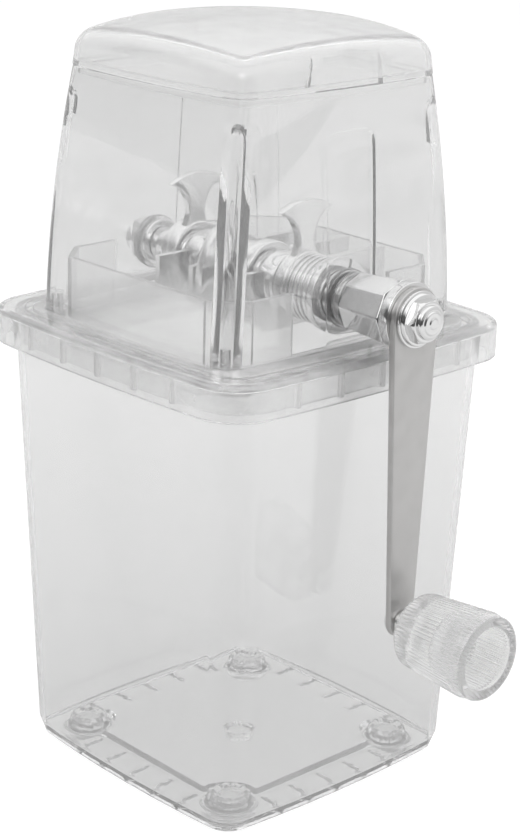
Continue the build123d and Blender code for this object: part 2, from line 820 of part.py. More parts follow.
# ---- knob pin: riveted through the arm, shouldered, with a head in the knob's recess ----
recess_floor = knob_end - knob_recess
head_start = recess_floor + side_gap
knob_pin = turned(
    [
        (arm_inner_face - pin_rivet, 0),
        (arm_inner_face - pin_rivet, pin_rivet_radius),
        (arm_inner_face, pin_rivet_radius),
        (arm_inner_face, pin_radius),
        (arm_outer_face, pin_radius),
        (arm_outer_face, pin_shoulder_radius),
        (arm_outer_face + pin_shoulder, pin_shoulder_radius),
        (arm_outer_face + pin_shoulder, pin_radius),
        (head_start, pin_radius),
        (head_start, pin_head_radius),
        (head_start + pin_head, pin_head_radius),
        (head_start + pin_head, 0),
    ],
    knob_height,
)
knob_pin.label = "knob_pin"
export_step(knob_pin, "parts/knob_pin.step")

# ---- knob: ribbed, widening outwards, hollow at the end ----
body_start = knob_start + knob_neck
body_end = knob_end - knob_rim

with BuildPart() as knob_ribs:
    with BuildSketch(across_x(body_start, knob_height)):
        with PolarLocations(knob_large_radius - 2 * knob_rib_height, knob_rib_count):
            Rectangle(knob_large_radius - knob_small_radius + 4 * knob_rib_height, knob_rib_width)
    extrude(amount=body_end - body_start)
    add(
        turned(
            [
                (body_start, 0),
                (body_start, knob_small_radius + knob_rib_height),
                (body_end, knob_large_radius + knob_rib_height),
                (body_end, 0),
            ],
            knob_height,
        ),
        mode=Mode.INTERSECT,
    )

with BuildPart() as knob:
    add(
        turned(
            [
                (knob_start, 0),
                (knob_start, knob_neck_radius),
                (body_start, knob_neck_radius),
                (body_start, knob_small_radius),
                (body_end, knob_large_radius),
                (knob_end, knob_large_radius),
                (knob_end, 0),
            ],
            knob_height,
        )
    )
    add(knob_ribs.part)
    with BuildSketch(across_x(recess_floor, knob_height)):
        Circle(knob_recess_radius)
    extrude(amount=knob_recess, mode=Mode.SUBTRACT)
    # stiffening ribs in the recess, clear of the pin's head
    spoke_reach = knob_recess_radius - pin_head_radius - side_gap
    with BuildSketch(across_x(recess_floor, knob_height)):
        with PolarLocations(knob_recess_radius - spoke_reach / 2 + knob_rib_height / 2, spoke_count):
            Rectangle(spoke_reach - knob_rib_height, spoke_width)
    extrude(amount=spoke_height)
    with BuildSketch(across_x(knob_start, knob_height)):
        Circle(pin_radius + running_gap)
    extrude(amount=recess_floor - knob_start, mode=Mode.SUBTRACT)
knob.part.label = "knob"
export_step(knob.part, "parts/knob.step")

# ---- lid: shallow dome with rounded shoulders, a plug and two finger recesses ----
crown_reach = lid_half_x - lid_shoulder
crown_radius = (crown_reach**2 + crown_drop**2) / (2 * crown_drop)
plug_half_x = top_half_x - hopper_wall - slip_gap
plug_half_y = top_half_y - hopper_wall - slip_gap
plug_corner = hopper_corner - hopper_wall


def lid_form(inset, foot):
    """The lid's outside moved in by inset, from the height foot upwards."""
    with BuildPart() as form:
        loft(
            sections=[
                bowed_outline(lid_half_x - inset, lid_half_y - inset, lid_corner - inset, foot),
                bowed_outline(
                    lid_half_x - inset - lid_draw, lid_half_y - inset - lid_draw, lid_corner - inset, lid_top
                ),
            ],
            ruled=True,
        )
        with BuildPart(mode=Mode.INTERSECT):
            with Locations((0, 0, lid_top - crown_radius)):
                Sphere(crown_radius - inset)
        fillet(form.faces().sort_by(Axis.Z)[-1].edges(), lid_shoulder - inset)
    return form.part


def grip_cutter(depth, margin):
    """Both finger recesses, depth deep and margin wider all round."""
    with BuildPart() as cutter:
        for side in (1, -1):
            plane = Plane(
                origin=(side * (lid_half_x - depth), 0, 0), x_dir=(0, side, 0), z_dir=(side, 0, 0)
            )
            with BuildSketch(plane):
                with BuildLine():
                    Polyline(
                        (-grip_low_half - margin, hopper_top),
                        (grip_low_half + margin, hopper_top),
                        (grip_top_half + margin, grip_top + margin),
                        (-grip_top_half - margin, grip_top + margin),
                        close=True,
                    )
                make_face()
            extrude(amount=2 * depth)
    return cutter.part


with BuildPart() as lid_hollow:
    add(lid_form(lid_wall, hopper_top + plug_shelf))
    add(grip_cutter(grip_depth + lid_wall, lid_wall), mode=Mode.SUBTRACT)
    extrude(
        bowed_outline(
            plug_half_x - plug_thick, plug_half_y - plug_thick, plug_corner - plug_thick, hopper_top - plug_depth
        ),
        amount=plug_depth + plug_shelf,
    )

with BuildPart() as lid:
    add(lid_form(0.0, hopper_top))
    extrude(
        bowed_outline(plug_half_x, plug_half_y, plug_corner, hopper_top - plug_depth), amount=plug_depth
    )
    add(grip_cutter(grip_depth, 0.0), mode=Mode.SUBTRACT)
    add(lid_hollow.part, mode=Mode.SUBTRACT)
lid.part.label = "lid"
export_step(lid.part, "parts/lid.step")
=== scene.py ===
import math
import bpy
import bmesh
import numpy as np
from mathutils import Matrix, Vector


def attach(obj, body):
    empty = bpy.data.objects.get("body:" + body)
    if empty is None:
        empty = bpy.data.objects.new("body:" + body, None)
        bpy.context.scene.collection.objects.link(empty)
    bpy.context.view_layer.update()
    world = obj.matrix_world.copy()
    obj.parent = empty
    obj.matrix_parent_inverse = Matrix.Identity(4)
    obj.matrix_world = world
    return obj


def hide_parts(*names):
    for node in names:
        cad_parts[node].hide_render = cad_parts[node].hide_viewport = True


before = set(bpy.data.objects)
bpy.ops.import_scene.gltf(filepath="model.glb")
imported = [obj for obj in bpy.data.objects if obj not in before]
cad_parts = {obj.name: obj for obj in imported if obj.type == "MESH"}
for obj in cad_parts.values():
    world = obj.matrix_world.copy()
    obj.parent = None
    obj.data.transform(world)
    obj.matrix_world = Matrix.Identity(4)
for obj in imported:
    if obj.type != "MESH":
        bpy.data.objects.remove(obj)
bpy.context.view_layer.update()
mm = 0.001
print("frame loaded:", len(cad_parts), "nodes")


# materials

def linearColour(hexValue):
    channels = [int(hexValue[i:i + 2], 16) / 255 for i in (1, 3, 5)]
    return [c / 12.92 if c <= 0.04045 else ((c + 0.055) / 1.055) ** 2.4 for c in channels] + [1.0]


def addNode(tree, kind, settings=None):
    # one node with its settings; a socket takes a value or what feeds it
    node = tree.nodes.new(kind)
    for name, value in (settings or {}).items():
        if isinstance(name, str) and name not in node.inputs:
            setattr(node, name, value)
        elif isinstance(value, bpy.types.NodeSocket):
            tree.links.new(value, node.inputs[name])
        else:
            node.inputs[name].default_value = value
    return node


def maths(tree, operation, *values):
    return addNode(tree, "ShaderNodeMath", {"operation": operation, **dict(enumerate(values))}).outputs[0]


def spread(tree, value, fromMin, fromMax, toMin=0.0, toMax=1.0, curve="LINEAR"):
    # a value carried from one range to another, and held at both ends
    settings = {
        "interpolation_type": curve, "Value": value,
        "From Min": fromMin, "From Max": fromMax, "To Min": toMin, "To Max": toMax,
    }
    return addNode(tree, "ShaderNodeMapRange", settings).outputs["Result"]


def cloudNoise(tree, place, pitch, detail, roughness=0.5):
    # noise whose clouds are about pitch mm apart
    settings = {"Vector": place, "Scale": 1000 / pitch, "Detail": detail, "Roughness": roughness}
    return addNode(tree, "ShaderNodeTexNoise", settings).outputs["Fac"]


def bumped(tree, height, depth):
    # the normals of a surface that height raises by up to depth mm
    return addNode(tree, "ShaderNodeBump", {"Height": height, "Distance": depth * mm}).outputs["Normal"]


def mixed(tree, share, first, second):
    return addNode(tree, "ShaderNodeMixShader", {0: share, 1: first, 2: second}).outputs["Shader"]


def blended(tree, share, first, second):
    # the same for two numbers
    settings = {"data_type": "FLOAT", "Factor": share, "A": first, "B": second}
    return addNode(tree, "ShaderNodeMix", settings).outputs["Result"]


def newMaterial(name):
    material = bpy.data.materials.new(name)
    material.use_nodes = True
    material.node_tree.nodes.clear()
    return material, material.node_tree, material.node_tree.nodes.new("ShaderNodeOutputMaterial")


clearLook = {
    "colour": "#fafafa",
    "ior": 1.57,            # styrene-acrylonitrile
    "roughness": 0.02,
    "scuffed": 0.09,        # where handling has dulled it
    "scuffPitch": 4.0,      # mm
    "wavePitch": 38.0,      # mm between the slow waves that moulding leaves in a wall
    "waveHeight": 0.12,     # mm
    "haze": 0.08,           # share of each surface that scatters
    "cloudPitch": 30.0,     # mm between clearer and cloudier places
    "hazeColour": "#f4f4f4",
    "lampColour": "#f8f8f8",  # what lamp light keeps when it passes a wall
}
hazyLook = dict(clearLook, roughness=0.08, scuffed=0.22, wavePitch=14.0, waveHeight=0.10, haze=0.14)
ribbedLook = dict(clearLook, roughness=0.03, scuffed=0.08, wavePitch=9.0, waveHeight=0.02, haze=0.13)
# the hopper's skirt and flange, below frostTop in mm, are frosted in blotches
frostedLook = dict(clearLook, frost=0.2, frostPitch=9.0, frostTop=162.8, frostEdge=0.8)


def frostShare(tree, place, look):
    # blotches below frostTop, none above it
    height = addNode(tree, "ShaderNodeSeparateXYZ", {0: place}).outputs["Z"]
    top, edge = look["frostTop"], look["frostEdge"]
    below = spread(tree, height, (top + edge) * mm, (top - edge) * mm)
    blotches = spread(tree, cloudNoise(tree, place, look["frostPitch"], 4.0), 0.3, 0.7, 0.0, look["frost"])
    return blotches, below


def mouldedClear(name, look):
    # injection-moulded clear styrene: polished, slow waves in the walls, faint scuffs, and a thin milky
    # veil that wanders in strength. Lamps shine through it, so the inside is lit
    material, tree, output = newMaterial(name)
    place = addNode(tree, "ShaderNodeTexCoord").outputs["Object"]
    waves = cloudNoise(tree, place, look["wavePitch"], 1.0)
    scuffs = cloudNoise(tree, place, look["scuffPitch"], 4.0, 0.65)
    rough = spread(tree, scuffs, 0.5, 0.75, look["roughness"], look["scuffed"])
    shader = addNode(tree, "ShaderNodeBsdfPrincipled", {
        "Base Color": linearColour(look["colour"]), "IOR": look["ior"], "Transmission Weight": 1.0,
        "Roughness": rough, "Normal": bumped(tree, waves, look["waveHeight"]),
    })
    # the veil is lit from both sides of the wall
    milk = {"Color": linearColour(look["hazeColour"])}
    front = addNode(tree, "ShaderNodeBsdfDiffuse", milk).outputs["BSDF"]
    back = addNode(tree, "ShaderNodeBsdfTranslucent", milk).outputs["BSDF"]
    veil = mixed(tree, 0.5, front, back)
    clouds = cloudNoise(tree, place, look["cloudPitch"], 3.0)
    share = spread(tree, clouds, 0.3, 0.7, 0.75 * look["haze"], 1.25 * look["haze"])
    if "frost" in look:
        blotches, below = frostShare(tree, place, look)
        share = maths(tree, "MULTIPLY_ADD", blotches, below, share)
    surface = mixed(tree, share, shader.outputs["BSDF"], veil)
    through = addNode(tree, "ShaderNodeBsdfTransparent", {"Color": linearColour(look["lampColour"])})
    rays = addNode(tree, "ShaderNodeLightPath")
    surface = mixed(tree, rays.outputs["Is Shadow Ray"], surface, through.outputs["BSDF"])
    tree.links.new(surface, output.inputs["Surface"])
    return material


platedLook = {
    "colour": "#e2e2e2", "roughness": 0.05, "scuffed": 0.14, "patch": 2.5, "grain": 0.0, "grainPitch": 1.0,
}
blastedLook = {
    "colour": "#c6c5c4", "roughness": 0.34, "scuffed": 0.46, "patch": 6.0, "grain": 0.03, "grainPitch": 0.55,
}
groundLook = {
    "colour": "#e9e9e9", "roughness": 0.14, "scuffed": 0.24, "patch": 3.0, "grain": 0.002, "grainPitch": 0.5,
}


def metalSurface(name, look):
    # bare or plated metal: roughness wanders over patches as handling leaves it, and a blasted or
    # ground finish has a fine grain. The grain is drawn about three times coarser than real, to show
    material, tree, output = newMaterial(name)
    place = addNode(tree, "ShaderNodeTexCoord").outputs["Object"]
    patches = cloudNoise(tree, place, look["patch"], 5.0, 0.6)
    rough = spread(tree, patches, 0.35, 0.7, look["roughness"], look["scuffed"])
    grain = cloudNoise(tree, place, look["grainPitch"], 2.0)
    shader = addNode(tree, "ShaderNodeBsdfPrincipled", {
        "Base Color": linearColour(look["colour"]), "Metallic": 1.0,
        "Roughness": rough, "Normal": bumped(tree, grain, look["grain"]),
    })
    tree.links.new(shader.outputs["BSDF"], output.inputs["Surface"])
    return material


# glassy walls with a faint veil, a cloudier grade for liner and lid, fine ribs that catch the light, and
# a clear hopper over a mottled skirt
clearStyrene = mouldedClear("polished clear styrene", clearLook)
hazyStyrene = mouldedClear("hazy clear styrene", hazyLook)
ribbedStyrene = mouldedClear("ribbed clear styrene", ribbedLook)
frostedStyrene = mouldedClear("clear styrene with a frosted skirt", frostedLook)
# mirror-bright hardware, a dull grey arm, and pale satin claws and knives
nickelPlate = metalSurface("bright nickel plate", platedLook)
blastedSteel = metalSurface("bead-blasted stainless steel", blastedLook)
groundSteel = metalSurface("ground stainless steel", groundLook)
print("materials ready")


# surfaces on a grid

def roundCorners(path, radius, closed=True, steps=4, lengthAxes=None):
    # every corner of the path becomes a short quadratic curve that starts and ends radius away from it,
    # or 0.45 of the shorter side where that is less
    path = np.asarray(path, float)
    radius = np.broadcast_to(np.asarray(radius, float), (len(path),))
    axes = list(range(path.shape[1])) if lengthAxes is None else lengthAxes
    before = np.roll(path, 1, axis=0) - path
    after = np.roll(path, -1, axis=0) - path
    lengthBefore = np.linalg.norm(before[:, axes], axis=1)
    lengthAfter = np.linalg.norm(after[:, axes], axis=1)
    cut = np.minimum(radius, 0.45 * np.minimum(lengthBefore, lengthAfter))
    start = path + before * (cut / np.maximum(lengthBefore, 1e-9))[:, None]
    end = path + after * (cut / np.maximum(lengthAfter, 1e-9))[:, None]
    t = np.linspace(0, 1, steps)[None, :, None]
    curve = start[:, None] * (1 - t) ** 2 + 2 * path[:, None] * t * (1 - t) + end[:, None] * t ** 2
    if closed:
        return curve.reshape(-1, path.shape[1])
    return np.concatenate([path[:1], curve[1:-1].reshape(-1, path.shape[1]), path[-1:]])


def divide(path, axis, longest, closed=True):
    # extra stations wherever a straight run is longer than longest along one column
    ends = np.roll(path, -1, axis=0) if closed else path[1:]
    starts = path if closed else path[:-1]
    counts = np.maximum(1, np.ceil(np.abs(ends - starts)[:, axis] / longest).astype(int))
    which = np.repeat(np.arange(len(starts)), counts)
    share = (np.arange(len(which)) - np.repeat(np.cumsum(counts) - counts, counts)) / counts[which]
    filled = starts[which] + (ends - starts)[which] * share[:, None]
    return filled if closed else np.concatenate([filled, path[-1:]])


def smoothStep(value, width):
    # 0 below -width, 1 above width, an S curve between
    t = np.clip(value / (2 * width) + 0.5, 0, 1)
    return t * t * (3 - 2 * t)


def bowedRows(halfX, halfY, corner, bow, sideShares, cornerCount):
    # each row is a rectangle whose sides are parabolas standing out by bow and whose corners are arcs
    # touching both sides; where they touch is found by repeating the two tangent conditions.
    # sideShares places the columns along half a side, from its middle (0) to the corner (1)
    halfX, halfY, corner, bow = [np.asarray(v, float)[:, None] for v in (halfX, halfY, corner, bow)]
    endX = halfX - bow
    endY = halfY - bow
    touchY = endY - corner
    touchX = endX - corner
    for _ in range(10):
        leanX = np.arctan(2 * bow * touchY / endY ** 2)
        leanY = np.arctan(2 * bow * touchX / endX ** 2)
        sideX = halfX - bow * (touchY / endY) ** 2
        sideY = halfY - bow * (touchX / endX) ** 2
        touchX = sideX - corner * np.cos(leanX) + corner * np.sin(leanY)
        touchY = sideY - corner * np.cos(leanY) + corner * np.sin(leanX)
    shares = np.asarray(sideShares, float)[None, :]
    y1 = touchY * shares
    x1 = halfX - bow * (y1 / endY) ** 2
    turn = leanX + (math.pi / 2 - leanY - leanX) * np.linspace(0, 1, cornerCount)[None, 1:-1]
    x2 = sideX - corner * np.cos(leanX) + corner * np.cos(turn)
    y2 = touchY - corner * np.sin(leanX) + corner * np.sin(turn)
    x3 = touchX * shares[:, ::-1]
    y3 = halfY - bow * (x3 / endX) ** 2
    x = np.concatenate([x1, x2, x3], axis=1)
    y = np.concatenate([y1, y2, y3], axis=1)
    xAll = np.concatenate([x[:, :-1], -x[:, :0:-1], -x[:, :-1], x[:, :0:-1]], axis=1)
    yAll = np.concatenate([y[:, :-1], y[:, :0:-1], -y[:, :-1], -y[:, :0:-1]], axis=1)
    return xAll, yAll


def gridFaces(points, closedAlong, capStart, capEnd):
    # quads between neighbouring rows and columns; a cap is a fan from the middle of the row
    rows, columns = points.shape[:2]
    index = np.arange(rows * columns).reshape(rows, columns)
    lower = index if closedAlong else index[:-1]
    upper = np.roll(index, -1, axis=0) if closedAlong else index[1:]
    quads = np.stack([lower, np.roll(lower, -1, 1), np.roll(upper, -1, 1), upper], axis=-1).reshape(-1, 4)
    vertices = points.reshape(-1, 3)
    triangles = np.zeros((0, 3), int)
    for wanted, row, flip in ((capStart, index[0], True), (capEnd, index[-1], False)):
        if wanted:
            middle = len(vertices)
            vertices = np.concatenate([vertices, vertices[row].mean(0)[None]])
            fan = np.stack([row, np.roll(row, -1), np.full(columns, middle)], axis=-1)
            triangles = np.concatenate([triangles, fan[:, ::-1] if flip else fan])
    corners = np.concatenate([quads[:, [0, 1, 2]], quads[:, [0, 2, 3]], triangles])
    a, b, c = vertices[corners[:, 0]], vertices[corners[:, 1]], vertices[corners[:, 2]]
    # the enclosed volume is positive when faces point outwards
    if (a * np.cross(b, c)).sum() < 0:
        quads = quads[:, ::-1]
        triangles = triangles[:, ::-1]
    return vertices, quads, triangles


def addPiece(name, surfaces, material, body, cadNodes, sharpAngle=38.0):
    # surfaces are (points in mm, closedAlong, capStart, capEnd); they become one mesh at the origin
    vertices, faces, count = [], [], 0
    for points, closedAlong, capStart, capEnd in surfaces:
        v, quads, triangles = gridFaces(np.asarray(points, float), closedAlong, capStart, capEnd)
        vertices.append(v * mm)
        faces += (quads + count).tolist() + (triangles + count).tolist()
        count += len(v)
    mesh = bpy.data.meshes.new(name)
    mesh.from_pydata(np.concatenate(vertices).tolist(), [], faces)
    work = bmesh.new()
    work.from_mesh(mesh)
    bmesh.ops.remove_doubles(work, verts=work.verts, dist=2e-6)
    bmesh.ops.dissolve_degenerate(work, edges=work.edges, dist=1e-6)
    work.to_mesh(mesh)
    work.free()
    mesh.shade_smooth()
    mesh.set_sharp_from_angle(angle=math.radians(sharpAngle))
    mesh.materials.append(material)
    piece = bpy.data.objects.new(name, mesh)
    bpy.context.scene.collection.objects.link(piece)
    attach(piece, body)
    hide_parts(*cadNodes)
    print("piece:", name, len(mesh.polygons), "faces")


def crankPiece(name, surfaces, material, node, sharpAngle=38.0):
    # a piece that turns with the crank
    addPiece(name, surfaces, material, "crank_body", [node], sharpAngle)


def turnedAlongX(profile, height, columns=96, radiusShape=None):
    # each (x, radius) station carried round the X line at that height; radiusShape(angle, x, radius)
    # may change the radius round the turn
    profile = np.asarray(profile, float)
    angle = np.linspace(0, 2 * math.pi, columns, endpoint=False)[None, :]
    x = np.repeat(profile[:, :1], columns, axis=1)
    radius = np.repeat(profile[:, 1:2], columns, axis=1)
    if radiusShape is not None:
        radius = radiusShape(angle, x, radius)
    return np.stack([x, radius * np.sin(angle), height + radius * np.cos(angle)], axis=-1)


def turnedUpright(profile, middleX, middleY, columns=64):
    # each (radius, z) station carried round an upright line
    profile = np.asarray(profile, float)
    angle = np.linspace(0, 2 * math.pi, columns, endpoint=False)[None, :]
    radius, z = profile[:, :1], np.repeat(profile[:, 1:2], columns, axis=1)
    return np.stack([middleX + radius * np.cos(angle), middleY + radius * np.sin(angle), z], axis=-1)


def stepped(bore, steps, end):
    # the section of a turned piece; each step is a place and the radius from there on
    path, radius = [], bore
    for x, nextRadius in steps + [(end, bore)]:
        path += [(x, radius), (x, nextRadius)]
        radius = nextRadius
    return path


def ring(profile, radius=0.25, columns=96, radiusShape=None):
    # a bored turned piece on the shaft's line: its section is a closed path with rounded corners
    return turnedAlongX(roundCorners(profile, radius), shaftHeight, columns, radiusShape), True, False, False


def solid(profile, height, radius, columns=96, radiusShape=None):
    # a turned piece without a bore, closed at both ends
    points = turnedAlongX(roundCorners(profile, radius, False), height, columns, radiusShape)
    return points, False, True, True


def block(lowest, highest):
    # a plain box as four corners carried upwards, with flat caps
    (x0, y0, z0), (x1, y1, z1) = lowest, highest
    plan = np.array([[x0, y0], [x1, y0], [x1, y1], [x0, y1]])
    points = np.stack([np.column_stack([plan, np.full(4, z)]) for z in (z0, z1)])
    return points, False, True, True


# all sizes below are in mm
shaftHeight = 177.0
shaftBore = 4.03        # in whatever sits on the shaft
axisRadius = 0.4        # a solid turned piece is closed by a cap of this radius

# bin
binSize = {
    "footHeight": 2.6, "footHalf": 53.4, "bandHeight": 8.4, "bandHalf": 55.0,
    "rimHeight": 159.7, "rimHalf": 61.2, "wall": 2.2, "floorTop": 6.0, "bow": 2.6,
    "footCorner": 8.0, "innerFootCorner": 6.9, "rimCorner": 14.0,
    "panelHalf": 39.5, "panelRise": 1.0, "panelGap": 3.0,
    "socketPlace": 37.5, "socketRadius": 6.3, "socketRise": 3.4, "flutes": 12, "fluteDepth": 0.5,
    "cupRadius": 3.6, "cupDepth": 1.1,
    "hollow": 1.2, "hollowInset": 3.0, "padRadius": 7.4, "padSeat": 0.8, "studRadius": 4.5,
    "ribs": 5, "ribPitch": 13.0, "ribWidth": 1.4, "ribReach": 9.0,
    "floorRows": 96, "middleShare": 0.012, "sideColumns": 34, "cornerColumns": 16,
}


def floorRelief(x, y, s):
    # top: a raised panel stepped round four fluted sockets. underside: a shallow hollow that leaves the
    # rim, ribs, foot seats and a middle stud. Each is a sum of S curves of the distance to its outline
    ax, ay = np.abs(x), np.abs(y)
    reach = np.maximum(ax, ay)
    middle = np.hypot(x, y)
    socket = np.hypot(ax - s["socketPlace"], ay - s["socketPlace"])
    turn = np.arctan2(ay - s["socketPlace"], ax - s["socketPlace"])
    fluted = s["socketRadius"] + s["fluteDepth"] * np.cos(s["flutes"] * turn)
    panel = smoothStep(s["panelHalf"] - reach, 0.8)
    panel = panel * smoothStep(socket - s["socketRadius"] - s["panelGap"], 0.8)
    top = s["panelRise"] * panel + s["socketRise"] * smoothStep(fluted - socket, 0.6)
    top = top - s["cupDepth"] * smoothStep(s["cupRadius"] - socket, 0.8)
    hollowHalf = s["footHalf"] - s["hollowInset"]
    along = np.where(ax > ay, ay, ax)
    ribNumber = np.clip(np.round(along / s["ribPitch"]), 0, (s["ribs"] - 1) // 2)
    nearest = np.abs(along - s["ribPitch"] * ribNumber)
    rib = smoothStep(s["ribWidth"] / 2 - nearest, 0.5) * smoothStep(reach - hollowHalf + s["ribReach"], 0.8)
    hollowed = smoothStep(hollowHalf - reach, 0.6) * (1 - rib)
    hollowed = hollowed * smoothStep(socket - s["padRadius"] - s["padSeat"], 0.5)
    under = s["hollow"] * hollowed * smoothStep(middle - s["studRadius"], 0.5)
    under = under - s["footHeight"] * smoothStep(s["studRadius"] - middle, 0.3)
    return top, under


def makeBin(s):
    # one closed skin: underside from the middle outwards, up the outside, over the rim, down to the floor
    path = [
        (s["footHalf"], s["footCorner"], s["footHeight"]),
        (s["bandHalf"], s["footCorner"], s["bandHeight"]),
        (s["rimHalf"], s["rimCorner"], s["rimHeight"]),
        (s["rimHalf"] - s["wall"], s["rimCorner"] - s["wall"], s["rimHeight"]),
        (s["bandHalf"] - s["wall"], s["innerFootCorner"], s["floorTop"]),
    ]
    walls = roundCorners(path, [0.6, 0.5, 0.7, 0.7, 1.4], False, 5, [0, 2])
    walls = divide(walls, 2, 12.0, False)
    inward = np.linspace(1, s["middleShare"], s["floorRows"])[1:]
    outward = inward[::-1]
    scale = np.concatenate([outward, np.ones(len(walls)), inward])
    row = np.concatenate([
        np.repeat(walls[:1], len(outward), 0), walls, np.repeat(walls[-1:], len(inward), 0),
    ])
    half = row[:, 0] * scale
    shares = 1 - (1 - np.linspace(0, 1, s["sideColumns"])) ** 1.25
    x, y = bowedRows(half, half, row[:, 1] * scale, s["bow"] * scale, shares, s["cornerColumns"])
    z = np.repeat(row[:, 2:3], x.shape[1], axis=1)
    top, under = floorRelief(x, y, s)
    z[:len(outward)] += under[:len(outward)]
    z[-len(inward):] += top[-len(inward):]
    skin = (np.stack([x, y, z], axis=-1), False, True, True)
    addPiece("binShell", [skin], clearStyrene, "bin_body", ["bin"], 50)


makeBin(binSize)

feetSize = {
    "place": binSize["socketPlace"], "padRadius": binSize["padRadius"], "padTop": binSize["footHeight"],
    "edge": 0.7, "stemRadius": 4.45, "stemTop": 7.2, "capRadius": 0.3,
}


def makeFeet(s):
    profile = [
        (s["padRadius"] - s["edge"], 0.0), (s["padRadius"], s["edge"]), (s["padRadius"], s["padTop"]),
        (s["stemRadius"], s["padTop"]), (s["stemRadius"], s["stemTop"]),
    ]
    rounded = roundCorners(profile, 0.2, False)
    profile = np.concatenate([[(s["capRadius"], 0.0)], rounded, [(s["capRadius"], s["stemTop"])]])
    pads = [
        (turnedUpright(profile, sx * s["place"], sy * s["place"]), False, True, True)
        for sx in (-1, 1) for sy in (-1, 1)
    ]
    addPiece("footPads", pads, clearStyrene, "bin_body", ["feet"])


makeFeet(feetSize)

# hopper
hopperSize = {
    "footX": 49.4, "footY": 54.6, "bulgeX": 3.97, "bulgeY": 5.56, "topX": 44.9, "topY": 46.0, "corner": 7.5,
    "wall": 2.4, "innerCorner": 3.2, "flangeTop": 162.1, "flangeFoot": binSize["rimHeight"], "top": 244.0,
    "bow": 2.6, "skirtHalf": 66.0, "skirtCorner": 16.0, "skirtFoot": 150.1, "skirtWall": 2.2,
    "spigotHalf": 58.2, "spigotCorner": 11.8, "spigotFoot": 150.2,
    "postRadius": 2.8, "postTop": 233.0, "postInset": 7.6,
    # the posts lean inwards with the walls, per mm of height
    "postLeanX": -1.0 / 41.9, "postLeanY": -2.7 / 41.9,
    "panelHalf": 10.5, "panelDepth": 0.7, "farPanelDepth": 0.25, "panelFoot": 163.5, "panelTop": 231.0,
    "panelCorner": 5.0,
    # start, end and radius of each boss along the shaft's line, outside and inside each wall
    "bosses": ((48.85, 52.4, 9.0), (45.4, 46.75, 9.4), (-49.6, -48.85, 9.0), (-46.75, -45.4, 9.4)),
    "bossBore": 6.25, "bossLand": 9.6,
    "braces": 5, "bracePitch": 18.0, "braceHalf": 0.8, "braceDepth": 1.5, "braceSink": 0.1,
    "braceFoot": 151.6, "braceTop": 159.65, "straightHalf": 63.0,
    "rowPitch": 1.4, "cornerColumns": 26,
}


def hopperPath(s):
    # columns: half x, half y, corner, z, outside wall share, inside wall share
    w, v = s["wall"], s["skirtWall"]
    h, c = s["skirtHalf"], s["skirtCorner"]
    g, k = s["spigotHalf"], s["spigotCorner"]
    under, over = s["flangeFoot"], s["flangeTop"]
    path = [
        (g - v, g - v, k - v, s["spigotFoot"], 0, 0),
        (g, g, k, s["spigotFoot"], 0, 0),
        (g, g, k, under, 0, 0),
        (h - v, h - v, c - v, under, 0, 0),
        (h - v, h - v, c - v, s["skirtFoot"], 0, 0),
        (h, h, c, s["skirtFoot"], 0, 0),
        (h, h, c, over, 0, 0),
        (s["footX"], s["footY"], s["corner"], over, 1, 0),
        (s["topX"], s["topY"], s["corner"], s["top"], 1, 0),
        (s["topX"] - w, s["topY"] - w, s["innerCorner"], s["top"], 0, 1),
        (s["footX"] - w, s["footY"] - w, s["innerCorner"], under, 0, 1),
        (g - v, g - v, k - v, under, 0, 0),
    ]
    radii = [0.4, 0.4, 0.5, 0.5, 0.4, 0.5, 1.9, 0.9, 0.55, 0.55, 0.4, 0.5]
    return roundCorners(path, radii, True, 6, [1, 3])


def postInner(x, y, z, inside, s):
    # the corner posts: where a line from the middle meets a post before the wall, the skin follows the post
    rise = z - s["flangeTop"]
    centreX = s["footX"] - s["postInset"] + s["postLeanX"] * rise
    centreY = s["footY"] - s["postInset"] + s["postLeanY"] * rise
    size = np.sqrt(np.clip(s["postRadius"] ** 2 - np.clip(z - s["postTop"], 0, None) ** 2, 0, None))
    reach = np.hypot(centreX, centreY)
    off = np.arctan2(np.abs(y), np.abs(x)) - np.arctan2(centreY, centreX)
    left = size ** 2 - (reach * np.sin(off)) ** 2
    toPost = reach * np.cos(off) - np.sqrt(np.clip(left, 0, None))
    radius = np.hypot(x, y)
    shown = np.where((left > 0) & (inside > 0.99), np.minimum(radius, toPost), radius)
    return x * shown / radius, y * shown / radius


def hopperPanel(y, z, s):
    # 1 inside the panel's outline, 0 outside it and on the land round the boss
    outY = np.clip(np.abs(y) - s["panelHalf"] + s["panelCorner"], 0, None)
    outZ = np.clip(z - s["panelTop"] + s["panelCorner"], 0, None)
    edge = s["panelCorner"] - np.hypot(outY, outZ)
    panel = smoothStep(edge, 0.4) * smoothStep(z - s["panelFoot"], 0.5)
    return panel * smoothStep(np.hypot(y, z - shaftHeight) - s["bossLand"], 0.3)


